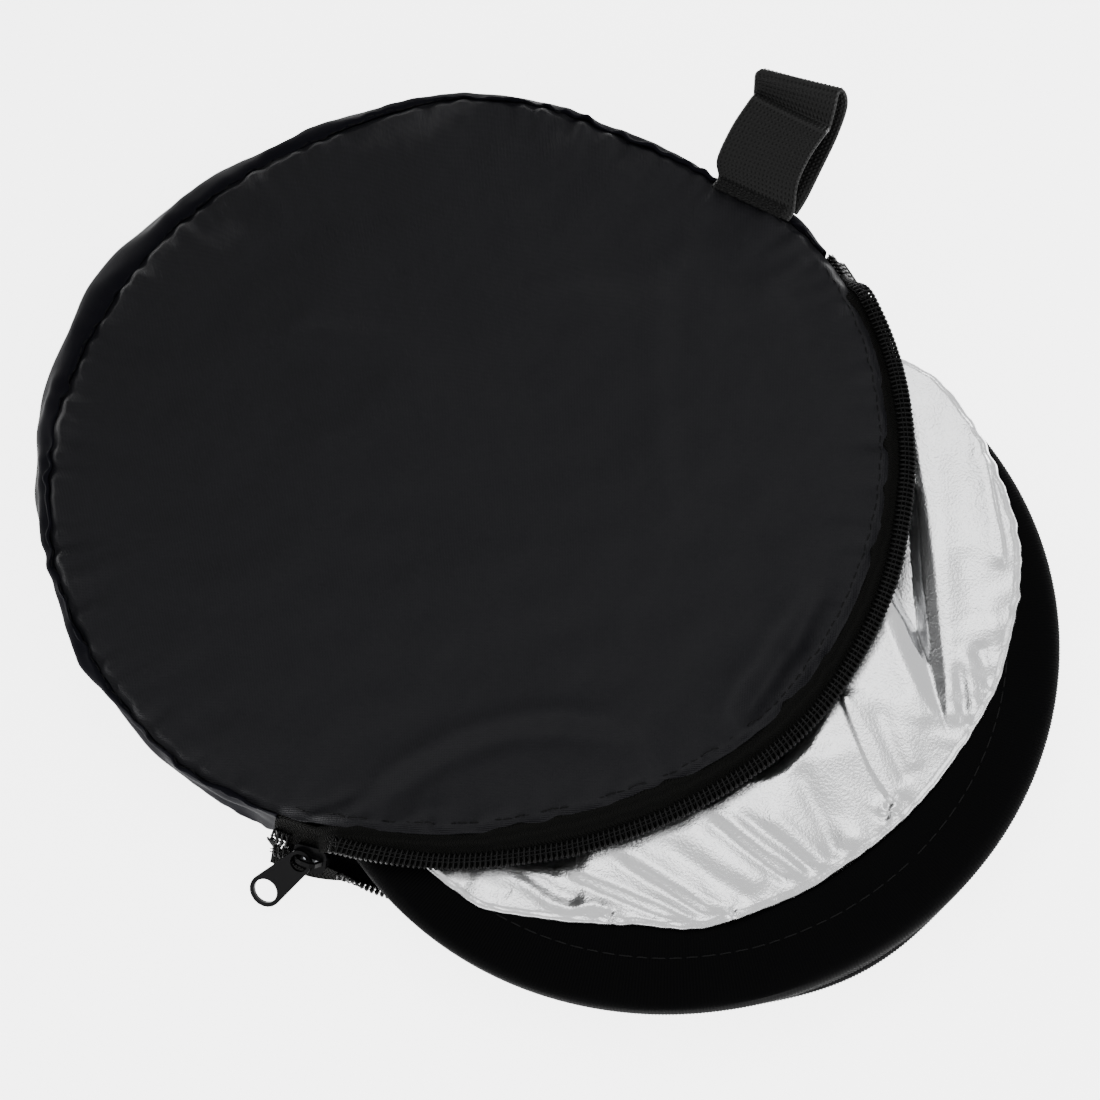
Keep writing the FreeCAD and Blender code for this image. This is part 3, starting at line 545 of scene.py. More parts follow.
def band_lines(tc, ec, to, eo, n, shift=None):
    """Sewn edge, coil edge of a tape at n angles along the mouth, as arrays of points (r, z) by angle."""
    p = np.linspace(A0 - 0.5, A1 + 0.5, n)
    k = openness(p)
    tr_, tz_ = mix(tc[0], to[0], k), mix(tc[1], to[1], k)
    er_, ez_ = mix(ec[0], eo[0], k), mix(ec[1], eo[1], k)
    if shift is not None:
        tr_, tz_, er_, ez_ = shift(p, k, tr_, tz_, er_, ez_)
    return p, np.stack([tr_, tz_], 1), np.stack([er_, ez_], 1)


lip = Noise(31, 46.0, 16, 1)


def upper_shift(p, k, tr_, tz_, er_, ez_):
    panel = seam_point(p) - 1.6
    tr_ = mix(tr_, panel, k)
    tz_ = mix(tz_, 21.0, k)
    er2 = CHAIN(p) + 1.9
    er_ = mix(er_, er2, k)
    ez_ = mix(ez_, 20.75 + 0.25 * lip(np.radians(p) * 125), k)
    return tr_, tz_, er_ - 1.9 * smooth((p - 58) / 12.0) * (1 - k), ez_


def lower_shift(p, k, tr_, tz_, er_, ez_):
    k2 = np.minimum(smooth((p + 65.0) / 15.0), smooth((71.0 - p) / 16.0))
    tuck = 8.6 * smooth((p - 30) / 20.0)
    er2 = 128.3 + 5.5 * smooth((p + 52) / 14.0) - tuck
    tr2 = 121.6 + 3.8 * smooth((p + 52) / 14.0) - tuck * 0.75
    far = 2.2 * smooth((p - 58) / 12.0) * (1 - k2)
    return mix(129.0, tr2, k2) - far, mix(5.2, 0.75, k2), mix(125.4, er2, k2) - far, mix(9.4, 2.1, k2)


def to_xyz(p, rz):
    a = np.radians(p)
    return np.stack([rz[:, 0] * np.cos(a), rz[:, 0] * np.sin(a), rz[:, 1]], 1)


def tape(name, lines, side, back=0.0, nodes=()):
    p, t_, e_ = lines
    a, b2 = to_xyz(p, t_), to_xyz(p, e_)
    nv = 9
    f = np.linspace(0, 1, nv)
    P = a[:, None] * (1 - f)[None, :, None] + b2[:, None] * f[None, :, None]
    Nn = normals_of(P)
    Nn *= np.sign((Nn[..., 2].sum() or 1)) * side
    belly = 0.22 * np.sin(f * PI)[None, :, None]
    P = P + Nn * belly
    sl = np.r_[0, np.cumsum(np.linalg.norm(np.diff(b2, axis=0), axis=1))]
    w = np.linalg.norm(b2 - a, axis=1)
    uv = np.stack([sl[:, None] + 0 * f[None], w[:, None] * f[None]], -1)
    o = cloth(name, P, 0.5, False, uv, Nn, 1.0)
    dress(o, "zip_tape", "bag")
    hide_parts(*nodes)
    return o


UPL = band_lines((E - 0.1, T - 1.7), (123.6, 12.2), (E - 2.6, T - 0.05), (127.4, T - 0.05), 520, upper_shift)
LOL = band_lines((129.3, 5.2), (125.6, 9.4), (125.4, 0.9), (134.2, 2.1), 520, lower_shift)
tape("zip_tape_upper_cloth", UPL, 1.0, nodes=("zip_tape_upper",))
tape("zip_tape_lower_cloth", LOL, 1.0, nodes=("zip_tape_lower",))

PITCH = 1.48


def chain(name, lines, side, wide=4.1, tall=1.7, lift=0.28, cut=None, phase=0.0, inset=1.35, gaps=()):
    """One row of the coil: a monofilament wound round in flat loops along the tape's edge, with the sewing along it."""
    p, t_, e_ = lines
    a, b2 = to_xyz(p, t_), to_xyz(p, e_)
    A = b2 - a
    A /= np.linalg.norm(A, axis=1)[:, None]
    Tt = np.gradient(b2, axis=0)
    Tt /= np.linalg.norm(Tt, axis=1)[:, None]
    Nn = np.cross(Tt, A)
    Nn /= np.linalg.norm(Nn, axis=1)[:, None]
    if Nn[len(Nn) // 2, 2] < 0:
        Nn = -Nn
    Nn = Nn * side
    A = np.cross(Nn, Tt) * np.sign((np.cross(Nn, Tt) * A).sum())
    sl = np.r_[0, np.cumsum(np.linalg.norm(np.diff(b2, axis=0), axis=1))]
    turns = int(sl[-1] / PITCH)
    per = 14
    th = np.arange(turns * per + 1) / per
    sc = np.clip((th + phase) * PITCH, 0, sl[-1])
    pick = lambda F: np.stack([np.interp(sc, sl, F[:, k]) for k in range(3)], 1)
    Bc, Ac, Nc, Tc = pick(b2), pick(A), pick(Nn), pick(Tt)
    u = th * 2 * PI
    cu, su = np.cos(u), np.sin(u)
    aw = wide / 2 * np.sign(cu) * np.abs(cu) ** 0.8
    head = 0.28 * np.exp(-((cu - 1) / 0.22) ** 2)
    nw = tall / 2 * np.sign(su) * np.abs(su) ** 0.7
    Cc = Bc + Ac * (aw - wide / 2 + inset)[:, None] + Nc * (nw + tall / 2 + lift)[:, None] + Tc * (0.30 * np.sign(su) * (1 - np.abs(su)) * 0)[:, None]
    deg = np.degrees(np.arctan2(Bc[:, 1], Bc[:, 0]))
    parts = []
    keepm = np.ones(len(Cc), bool)
    for g0, g1 in gaps:
        keepm &= ~((deg > g0) & (deg < g1))
    idx = np.flatnonzero(keepm)
    for run in np.split(idx, np.flatnonzero(np.diff(idx) > 1) + 1):
        if len(run) > per:
            parts.append(tube(Cc[run], 0.36 + head[run], 6, up=(0.3, 0.2, 1)))
    o = join_parts(name, parts)
    dress(o, "zip_coil", "bag")
    # two rows of sewing over the loops
    parts = []
    for off, ph0 in ((-0.55, 0.0), (0.45, 0.4)):
        st = np.arange(turns * 4 + 1) / 4.0
        sc2 = np.clip(st * PITCH, 0, sl[-1])
        pick2 = lambda F: np.stack([np.interp(sc2, sl, F[:, k]) for k in range(3)], 1)
        B3, A3, N3 = pick2(b2), pick2(A), pick2(Nn)
        wob = np.where(np.arange(len(st)) % 4 < 2, 0.18, -0.12)
        C3 = B3 + A3 * (inset - wide / 2 + off) [:, None] if False else B3 + A3 * (inset - wide / 2 + off) + N3 * (tall + lift + 0.12 + wob)[:, None]
        d3 = np.degrees(np.arctan2(B3[:, 1], B3[:, 0]))
        km = np.ones(len(C3), bool)
        for g0, g1 in gaps:
            km &= ~((d3 > g0) & (d3 < g1))
        idx = np.flatnonzero(km)
        for run in np.split(idx, np.flatnonzero(np.diff(idx) > 1) + 1):
            if len(run) > 8:
                parts.append(tube(C3[run], 0.17, 5, up=(0.3, 0.2, 1)))
    sew = join_parts(name + "_sewing", parts)
    dress(sew, "thread", "bag")
    return o


up_c = chain("zip_coil_upper_loops", UPL, 1.0, gaps=((-66.9, -60.3),), inset=0.4)
lo_c = chain("zip_coil_lower_loops", LOL, -1.0, tall=1.35, wide=3.7, phase=0.5, gaps=((-66.9, -60.3),), lift=0.1)
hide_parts("zip_coil_upper")
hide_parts("zip_coil_lower")

# narrow gusset strip below the mouth
NS = 360
pS = np.linspace(A0 - 0.4, A1 + 0.4, NS)
fS = np.linspace(0, 1, 12)
kS = openness(pS)
r_in = np.full(NS, 119.2)
kS = np.minimum(smooth((pS + 65.0) / 15.0), smooth((71.0 - pS) / 16.0))
r_out = mix(128.6 - 2.2 * smooth((pS - 58) / 12.0), 123.0 + 3.4 * smooth((pS + 52) / 14.0) - 5.6 * smooth((pS - 30) / 20.0), kS)
z_out = mix(5.0, 1.2, kS)
RS = r_in[:, None] + (r_out - r_in)[:, None] * fS[None]
ZS = 0.62 + (z_out - 0.62)[:, None] * smooth(fS)[None] ** 1.5 + 0.12 * lip(np.radians(pS) * 125)[:, None] * np.sin(fS * PI)[None]
aS = np.radians(pS)[:, None]
STR = np.stack([RS * np.cos(aS), RS * np.sin(aS), ZS], -1)
strip = cloth("mouth_strip_cloth", STR, 0.4, False, np.stack([aS * 124 + 0 * RS, RS - 119], -1), np.zeros_like(STR) + np.array([0, 0, 1.0]), 1.0)
dress(strip, "bag_nylon", "bag")
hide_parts("mouth_gusset_strip")


# ------------------------------------------------------------------ stitches
def stitches(name, P, Nn, length, gap, rad, node=None, body="bag", sink=0.45):
    """Single stitches along a line P, each a short arched thread that dips into the cloth at both ends."""
    s_ = np.r_[0, np.cumsum(np.linalg.norm(np.diff(P, axis=0), axis=1))]
    n = int(s_[-1] / (length + gap))
    parts = []
    for k in range(n):
        u = np.linspace(0, 1, 7)
        ss = k * (length + gap) + u * length
        c = np.stack([np.interp(ss, s_, P[:, i]) for i in range(3)], 1)
        nn = np.stack([np.interp(ss, s_, Nn[:, i]) for i in range(3)], 1)
        c = c + nn * ((1 - (2 * u - 1) ** 4) * sink - sink * 0.8)[:, None]
        parts.append(tube(c, rad, 6, up=(0.2, 0.3, 1)))
    o = join_parts(name, parts)
    dress(o, "thread", body)
    if node:
        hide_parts(node)
    return o


def line_at(P, j):
    return P[:, j]


jt = int(0.055 * (NV - 1)) + 1
stitches("top_seam_stitches", WALL[6:-6, jt], Nw[6:-6, jt], 2.7, 0.5, 0.2, "top_seam_thread")
jb = NV - 4
stitches("bottom_seam_stitches", WALL[6:-6, jb], Nw[6:-6, jb], 2.7, 0.5, 0.2, "bottom_seam_thread")
# row that holds the upper tape to the top panel's edge
pq = np.linspace(A0 + 2, A1 - 2, 700)
rr_ = seam_point(pq) - 2.6
xx, yy = rr_ * np.cos(np.radians(pq)), rr_ * np.sin(np.radians(pq))
zz = panel_height(xx, yy, rr_, seam_point(pq), pq)
stitches("mouth_edge_stitches", np.stack([xx, yy, zz], 1), np.zeros((700, 3)) + np.array([0, 0, 1.0]), 2.6, 0.6, 0.17)

parts = []
for p0, r0 in ((A0 - 0.3, 124.9), (A1 + 0.1, 121.9)):
    a = math.radians(p0)
    for k in range(11):
        z0 = 7.0 + k * 0.78
        t_ = np.linspace(-1, 1, 7)
        c = np.array([r0 * math.cos(a), r0 * math.sin(a), z0]) + np.outer(t_ * 1.1, [-math.sin(a), math.cos(a), 0.0]) \
            + np.outer((1 - t_ ** 2) * 0.35 + (0.35 if k % 2 else 0.2), [math.cos(a), math.sin(a), 0])
        parts.append(tube(c, 0.3, 6, up=(0, 0, 1)))
tack = join_parts("zip_end_tack_threads", parts)
dress(tack, "thread", "bag")
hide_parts("zip_end_bartacks")

# ------------------------------------------------------------------ hang loop: one strap of basket-weave webbing, with two crests
LEFT = [(-7.0, 108.6, 23.9), (-7.9, 112.2, 24.1), (-11.9, 115.6, 26.0), (-14.0, 123.9, 31.2), (-13.7, 131.8, 35.4), (-14.1, 134.5, 35.2), (-15.0, 136.0, 33.2), (-15.5, 138.0, 34.8), (-16.1, 140.1, 38.0), (-15.7, 142.3, 37.4), (-15.1, 142.4, 33.5), (-13.8, 136.4, 28.2), (-11.6, 127.0, 24.0), (-9.4, 119.0, 21.9), (-7.8, 113.2, 21.3)]
RIGHT = [(18.3, 114.8, 23.6), (17.4, 118.3, 23.9), (13.0, 125.2, 26.0), (12.2, 131.6, 31.4), (11.8, 137.0, 35.6), (11.0, 139.8, 35.2), (9.2, 141.8, 32.6), (6.4, 145.8, 34.4), (4.2, 149.8, 38.0), (5.2, 151.6, 36.9), (7.8, 150.2, 33.0), (11.0, 143.6, 28.4), (14.0, 133.4, 24.2), (16.6, 124.9, 21.9), (17.6, 119.4, 21.3)]
NL, NW2 = 500, 118
# both edges share one parameter, so that the weave stays square across the strap
Lc, Rc = np.asarray(LEFT, float), np.asarray(RIGHT, float)
midl = curve((Lc + Rc) / 2, NL)


def along_same(pts):
    p = np.asarray(pts, float)
    m_ = (Lc + Rc) / 2
    q_ = np.vstack([2 * p[0] - p[1], p, 2 * p[-1] - p[-2]])
    qm = np.vstack([2 * m_[0] - m_[1], m_, 2 * m_[-1] - m_[-2]])
    out_, om = [], []
    for i in range(len(p) - 1):
        t = np.linspace(0, 1, 40, endpoint=False)[:, None]
        for src, dst in ((q_, out_), (qm, om)):
            a, b2, c2, d2 = src[i], src[i + 1], src[i + 2], src[i + 3]
            dst.append(0.5 * (2 * b2 + (c2 - a) * t + (2 * a - 5 * b2 + 4 * c2 - d2) * t ** 2 + (3 * b2 - a - 3 * c2 + d2) * t ** 3))
    out_, om = np.vstack(out_ + [p[-1:]]), np.vstack(om + [m_[-1:]])
    s_ = np.r_[0, np.cumsum(np.linalg.norm(np.diff(om, axis=0), axis=1))]
    u_ = np.linspace(0, s_[-1], NL)
    return np.stack([np.interp(u_, s_, out_[:, k]) for k in range(3)], 1), u_


Lp, ul = along_same(LEFT)
Rp, _ = along_same(RIGHT)
f = np.linspace(0, 1, NW2)
S0 = Lp[:, None] * (1 - f)[None, :, None] + Rp[:, None] * f[None, :, None]
wide = 26.0
gone = np.linalg.norm(Rp - Lp, axis=1)
sc = (wide / gone)[:, None, None]
cen = (Lp + Rp)[:, None] / 2
S0 = cen + (S0 - cen) * sc
Ns = normals_of(S0)
if Ns[60, 60, 2] < 0:
    Ns = -Ns
u = ul[:, None] + 0 * f[None]
w = (f[None] - 0.5) * wide + 0 * ul[:, None]
pu, pw = 1.42, 1.24
bumps = (np.cos(PI * u / pu) ** 2) * (np.cos(PI * w / pw) ** 2)
cross = 0.35 * (np.sin(PI * u / pu) ** 2) * (np.sin(PI * w / pw) ** 2)
h = 0.34 * (bumps + cross)
edge = 1 - smooth((np.abs(f[None] - 0.5) - 0.475) / 0.025) * 0.8
half = (0.52 + h) * edge
front, back = S0 + Ns * half[..., None], S0 - Ns * half[..., None]
V = np.vstack([front.reshape(-1, 3), back.reshape(-1, 3)])
m_ = NL * NW2
ii = np.arange(NL - 1)
jj = np.arange(NW2 - 1)
F = [quads_of(NL, NW2), quads_of(NL, NW2, base=m_, flip=True)]
F.append(np.stack([ii * NW2, (ii + 1) * NW2, (ii + 1) * NW2 + m_, ii * NW2 + m_], -1)[:, ::-1])
F.append(np.stack([ii * NW2 + NW2 - 1, (ii + 1) * NW2 + NW2 - 1, (ii + 1) * NW2 + NW2 - 1 + m_, ii * NW2 + NW2 - 1 + m_], -1))
F.append(np.stack([jj, jj + 1, jj + 1 + m_, jj + m_], -1))
b0 = (NL - 1) * NW2
F.append(np.stack([b0 + jj, b0 + jj + 1, b0 + jj + 1 + m_, b0 + jj + m_], -1)[:, ::-1])
uvs = np.stack([u, w], -1).reshape(-1, 2)
strap = obj_from("hang_loop_strap", V, np.vstack(F), np.vstack([uvs, uvs]))
strap.data.materials.append(M["webbing"])
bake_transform(strap)
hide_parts("hang_loop", "hang_loop_root")

# box of stitches at its root
parts = []
dirx = np.array([math.cos(math.radians(13.5)), math.sin(math.radians(13.5)), 0])
diry = np.array([-dirx[1], dirx[0], 0])
for row in range(4):
    o0 = np.array([5.4, 110.9, 25.05]) + diry * row * 1.35
    for k in range(9):
        t_ = np.linspace(0, 1, 6)
        c = o0 + np.outer((k - 4.5) * 2.55 + t_ * 2.1, dirx)
        c[:, 2] += (1 - (2 * t_ - 1) ** 2) * 0.25 - 0.12
        parts.append(tube(c, 0.2, 6, up=(0.2, 0.3, 1)))
st = join_parts("hang_loop_root_stitches", parts)
dress(st, "thread", "bag")
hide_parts("hang_loop_stitching")

# ------------------------------------------------------------------ disc: ribbed ribbon round each of the hoop's three coils
DX = 83.6
RIB = 0.9
NRIB = int(round(2 * PI * 105.3 / RIB))
NA = NRIB * 4
az = np.arange(NA) * 2 * PI / NA
rib = np.cos(az * NRIB)


def ring(name, section, cx, cy, amp, lift_wave, seed, nodes=(), peek=0.0):
    """A ribbed ribbon ring: `section` lists (r, z, rib share) from its inner top edge round the outside to its inner lower edge."""
    sec = np.asarray(section, float)
    line = curve(sec, 40)
    nz = Noise(seed, 90.0, 14, 1)
    nf = Noise(seed + 1, 34.0, 14, 1)
    s_ = az * 105.0
    w_ = lift_wave * (0.6 * nz(s_) + 0.3 * nf(s_))
    w_ *= smooth(np.minimum(az, 2 * PI - az) / 0.5) * 0.5 + 0.5
    d = np.gradient(line[:, :2], axis=0)
    nn = np.stack([d[:, 1], -d[:, 0]], 1)
    nn /= np.linalg.norm(nn, axis=1)[:, None]
    if (nn[:20, 1]).sum() < 0:
        nn = -nn
    hgt = amp * rib[:, None] * line[None, :, 2]
    bulge = peek * np.exp(-((((az - math.radians(-17) + PI) % (2 * PI)) - PI) / math.radians(15)) ** 2)
    R_ = line[None, :, 0] + nn[None, :, 0] * hgt + bulge[:, None]
    Z_ = line[None, :, 1] + nn[None, :, 1] * hgt + w_[:, None] * np.linspace(1, 0.4, 40)[None]
    # the ribbon's wall goes round the steel strip wherever a coil of it lies in this ring
    bx, by = cx - DX + R_ * np.cos(az)[:, None], cy + R_ * np.sin(az)[:, None]
    rd = np.hypot(bx, by)
    outer = smooth((line[None, :, 0] - 99.5) / 3.0)
    need = np.zeros_like(rd)
    for turn in range(3):
        th = az + math.radians(163.0) + 2 * PI * turn
        rh_, zh_ = 100.6 + 4.5 * np.cos(th / 3), 10.65 + 4.35 * np.sin(2 * th / 3)
        off = np.maximum(np.abs(Z_ - zh_[:, None]) - 2.3, 0.0)
        need = np.maximum(need, rh_[:, None] + 1.05 - off * 1.6)
    push = np.where(outer > 0, np.log1p(np.exp((need - rd) / 0.35)) * 0.35, 0.0) * outer
    push = np.where(need > rd - 3.0, push, 0.0)
    R_ = R_ + push
    P = np.stack([cx + R_ * np.cos(az)[:, None], cy + R_ * np.sin(az)[:, None], Z_], -1)
    Nn = normals_of(P, True)
    top_row = Nn[:, 3, 2].mean()
    if top_row < 0:
        Nn = -Nn
    sl = np.r_[0, np.cumsum(np.linalg.norm(np.diff(line[:, :2], axis=0), axis=1))]
    uv = np.stack([s_[:, None] + 0 * sl[None], sl[None] + 0 * s_[:, None]], -1)
    o = obj_from(name, P.reshape(-1, 3), quads_of(NA, 40, True, flip=True), uv.reshape(-1, 2))
    dress(o, "rim_ribbon", "disc")
    if nodes:
        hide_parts(*nodes)
    return o, P, Nn


SEC_T = [(81.6, 17.0, 0.3), (82.2, 17.35, 0.6), (88, 17.75, 0.8), (95, 18.0, 1.0), (101, 17.9, 1.0), (104.2, 17.1, 1.0), (105.5, 15.6, 1.0), (105.4, 14.0, 1.0), (104.6, 12.95, 0.9), (102.5, 12.75, 0.5), (94, 13.6, 0.3), (83, 15.4, 0.2)]
SEC_M = [(84, 11.4, 0.2), (96, 12.4, 0.3), (102.5, 12.7, 0.6), (105.2, 12.1, 1.0), (106.0, 10.6, 1.0), (105.8, 9.0, 1.0), (104.7, 8.05, 0.8), (102.0, 7.9, 0.5), (94, 8.6, 0.3), (83, 9.8, 0.2)]
SEC_B = [(84, 6.2, 0.2), (96, 7.2, 0.3), (102.5, 7.75, 0.5), (104.9, 7.3, 1.0), (105.7, 5.9, 1.0), (105.3, 4.3, 1.0), (103.6, 3.3, 1.0), (100.0, 3.15, 1.0), (94, 3.5, 0.9), (88, 3.65, 0.8), (82.6, 3.9, 0.6), (82.0, 4.3, 0.3)]
lo_dir = math.radians(152)
rt, PT_, NT_ = ring("rim_ribbon_top", SEC_T, DX, 0.0, 0.13, 0.22, 71, ("rim_band_top_coil", "rim_binding"))
rm, PM_, _ = ring("rim_ribbon_middle", SEC_M, DX + 1.8 * math.cos(lo_dir), 1.8 * math.sin(lo_dir), 0.12, 0.12, 75, ("rim_band_middle_coil",), 0.6)
rb, PB_, _ = ring("rim_ribbon_bottom", SEC_B, DX + 3.4 * math.cos(lo_dir), 3.4 * math.sin(lo_dir), 0.12, 0.10, 78, ("rim_band_bottom_coil",), 2.6)
js = 8
stitches("rim_lockstitch", PT_[:, js], NT_[:, js], 4.4, 0.75, 0.22, "rim_stitching", "disc", 0.34)

# ------------------------------------------------------------------ disc: silver cloth, its folded lobes over the rim's inner part
EDGE = [(83.7, -92.4), (92.7, -91.5), (101.5, -90.2), (108.1, -85.8), (114.7, -80.7), (123.8, -74.7), (131.8, -69.0), (135.9, -64.2), (142.3, -59.5),
        (148.2, -54.2), (153.3, -46.3), (156.8, -36.6), (161.5, -17.0), (164.9, 3.9), (163.0, 24.3), (158.8, 44.2), (153.0, 58.6), (145.7, 72.0),
        (135.2, 84.6), (126.5, 91.1), (117.9, 95.7), (110.2, 99.3), (102.3, 102.7), (91.8, 106.0), (82.2, 107.2)]
ex, ey = np.array(EDGE)[:, 0] - DX, np.array(EDGE)[:, 1]
ed, er = np.degrees(np.arctan2(ey, ex)), np.hypot(ex, ey)
extra = [(100, 105), (115, 99), (135, 95), (160, 93), (180, 92), (200, 92), (225, 92), (250, 92.5), (262, 93.5)]
RB = periodic(np.r_[ed, [a for a, _ in extra]], np.r_[er, [r_ for _, r_ in extra]], 0.9)
NB, NQ = 1440, 190
be = np.arange(NB) * 360.0 / NB
rbv = RB(be)
scal = Noise(91, 8.5, 24, 1)
sb = np.radians(be) * 95
hang = smooth((be - 40) / 12) * smooth((100 - be) / 12)             # where the fold hangs over the rim's edge
bs = (be + 180) % 360 - 180
rbv = rbv + periodic([-120, -93, -81, -69, -63, -57, -50, -42, -33, -24, -15, -3, 9, 15, 27, 33, 39, 45, 63, 75, 100],
                     [0, 0.3, 0, 0.4, 0, -1.2, -0.6, -0.5, -1.0, 0.2, 1.2, 0.6, 0.6, 1.0, 0.7, 1.2, 0.4, -0.4, -0.8, -0.3, 0], 2.0)(bs)
rbv = rbv + hang * 0.16 * scal(sb) + (1 - hang) * 0.05 * scal(sb + 300)
qv = np.r_[0.0004, 1 - (1 - np.linspace(0, 1, NQ - 16)[1:]) ** 1.25]
r = qv[None, :] * rbv[:, None]
BE = be[:, None] + 0 * r
X, Y = DX + r * np.cos(np.radians(BE)), r * np.sin(np.radians(BE))
s1, s2, s3 = Noise(95, 38.0), Noise(96, 13.0), Noise(97, 5.0)


def dip(X, Y, pts, grade, reach, back, lead=0.15, tail=0.15):
    """Cloth that sinks at a steady grade on the right of a line, then comes back up."""
    d, sd, t = near(X, Y, pts)
    x = np.where(sd < 0, d, 0.0)
    x1 = x * x / (x + 1.3)
    fade = smooth(t / lead) * smooth((1 - t) / tail)
    return -grade * reach * np.tanh(x1 / reach) * (1 - smooth((x - 1.5 * reach) / back)) * fade


def silver_height(X, Y, r, rb, be):
    inn = rb - r
    z = 18.75 + 0.20 * s1(X, Y) + 0.02 * s2(X, Y)
    # outer side stands a little proud of the rim, and sinks under the bag's lip
    z += 0.55 * smooth((np.hypot(X, Y) - 126) / 14.0)
    # the long valley: a steady fall on its outer flank, a steeper rise on its inner flank
    VR = [(81, 97.0), (89.3, 90.8), (98.0, 84.6), (107.1, 77.6), (124.3, 62.6), (137.4, 50.2), (147.2, 41.6), (158.5, 30.2)]
    VL = [(71.5, 72), (83.5, 63.5), (94.5, 56.2), (105.5, 49.2), (112.8, 46.8), (129.2, 39.6), (145.6, 32.6), (158.5, 29.5)]
    dr_, sr_, tr2_ = near(X, Y, VR)
    dl_, sl_, tl2_ = near(X, Y, VL)
    xr = np.where(sr_ < 0, dr_, 0.0)
    xl = np.where(sl_ > 0, dl_, 0.0)
    ra, la = 0.60 * xr * xr / (xr + 0.6) + 1e-4, 0.46 * xl * xl / (xl + 2.0) + 1e-4
    z -= (ra ** -5.0 + la ** -5.0) ** (-1 / 5.0) * smooth(tr2_ / 0.12) * smooth(tl2_ / 0.08)
    z += fold(X, Y, [(x + 3.2 * (1 - k / 9), y + 3.4 * (1 - k / 9)) for k, (x, y) in enumerate(VR)], 0.35, 4.6, 1.7, 1, 0.1, 0.12)
    # falls towards the zip and at the lower left
    z += dip(X, Y, [(130.0, 21.0), (131.0, 16.5), (132.0, 12.3), (134.8, 2.4), (135.2, -6.6), (132.9, -12.3), (129.0, -17.1), (127.9, -24.4), (126.5, -28.5), (121.5, -36.6),
                    (117.9, -44.0), (111.9, -51.6), (102.7, -61.5)], 0.62, 8.0, 52.0, 0.16, 0.16)
    z += dip(X, Y, [(117.4, -65.3), (114.4, -67.3), (109.9, -71.5), (104.4, -74.5), (97.6, -78.0), (89.6, -80.9), (81.8, -84.5)], 0.60, 5.0, 34.0, 0.2, 0.25)
    z += fold(X, Y, [(120, 48), (130, 41), (142, 33), (155, 25)], 0.45, 4.5, 2.4, 1, 0.15, 0.15)
    for pts, a_, w0, w1 in (
            ([(145.4, 48.0), (152, 42.5), (156.8, 38.0), (161.8, 34.2)], -0.75, 1.5, 1.0),
            ([(143, 52.5), (150, 47), (156, 42.5), (160, 39.5)], 0.6, 1.7, 1.1),
            ([(145.8, 55.3), (152.6, 51.2), (158.7, 46.6)], -0.7, 1.5, 1.0),
            ([(140, 66), (147, 61), (153, 56)], 0.45, 2.2, 1.3),
            ([(124, 74), (133, 66.5), (142, 58.5)], -0.35, 2.6, 2.0),
            ([(139.0, 30), (149, 22.5), (160, 16)], 0.55, 3.2, 1.6),
            ([(137, 24.5), (148, 18), (161, 12)], -0.5, 2.2, 1.2),
            ([(134.9, 7.3), (143.4, 1.7), (154.3, -3.1), (164.1, -10.3)], 0.95, 5.0, 2.4),
            ([(133, -2.5), (144, -8), (155, -12.5), (162, -16.5)], -0.85, 2.4, 1.5),
            ([(136.8, -19.7), (143.9, -18.8), (151.8, -18.8), (162.3, -19.9)], 0.75, 2.2, 1.4),
            ([(131, -24.5), (140, -23.6), (150, -22.6), (160, -22.4)], -0.75, 1.5, 1.0),
            ([(124.1, -28.4), (133.0, -27.5), (139.3, -27.3), (146.8, -26.8), (153.4, -25.4), (160.6, -24.6)], 0.8, 1.7, 1.1),
            ([(124.5, -31.5), (133.0, -31), (140, -30.8), (148, -30), (158, -28.6)], -0.95, 1.6, 1.0),
            ([(122, -37.5), (132, -37.3), (142, -36.4), (154, -34)], 0.7, 3.0, 1.7),
            ([(121, -44.5), (132, -43.3), (144, -41.2), (154, -39.4)], -0.6, 2.2, 1.4),
            ([(115.4, -52.6), (124.3, -51.6), (135.2, -49.4), (143.5, -48.0), (153.4, -43.8)], 0.9, 2.2, 1.3),
            ([(112, -57.0), (122, -56.0), (134, -53.4), (143, -51.8), (151, -48.6)], -1.0, 1.8, 1.1),
            ([(105.7, -67.6), (114.7, -64.9), (121.9, -62.2), (136.1, -56.8), (148.7, -51.9)], 0.85, 1.7, 1.1),
            ([(104, -71.0), (113.5, -68.4), (122, -65.6), (135, -60.4), (144, -56.5)], -1.0, 1.6, 1.0),
            ([(99, -79.0), (107.6, -77.5), (114.8, -76.4), (119.4, -74.4), (123.8, -68.9), (130.6, -65.4)], 0.85, 1.4, 1.0),
            ([(96, -76.5), (106, -74.6), (114, -73.0), (121, -69.4)], -0.9, 2.6, 1.5),
            ([(88, -86.5), (98, -84.6), (106, -81.8)], -0.5, 2.4, 1.6)):
        z += fold(X, Y, pts, a_ * 0.72, w0 * 1.4, w1 * 1.45, 1, 0.22, 0.14)
    # doubled edge that runs to the knot on the right
    F_ = [(128.5, 19.2), (131.5, 17.7), (137.4, 14.7), (143.4, 11.8), (150.5, 8.4), (155.9, 6.8), (163.2, 4.8)]
    z += step(X, Y, F_, 0.95, 0.5, 6.0) + fold(X, Y, [(x, y + 1.1) for x, y in F_], 0.45, 1.2, 1.0, 1, 0.1, 0.1)
    # second fold line beside the outer edge, high on the disc
    E_ = [(100, 105), (106.6, 101.3), (112.0, 97.1), (117.4, 92.9), (124.8, 87.0), (132.1, 81.3), (138, 75.5)]
    z += step(X, Y, [p_ for p_ in E_[::-1]], 0.9, 0.45, 4.5)
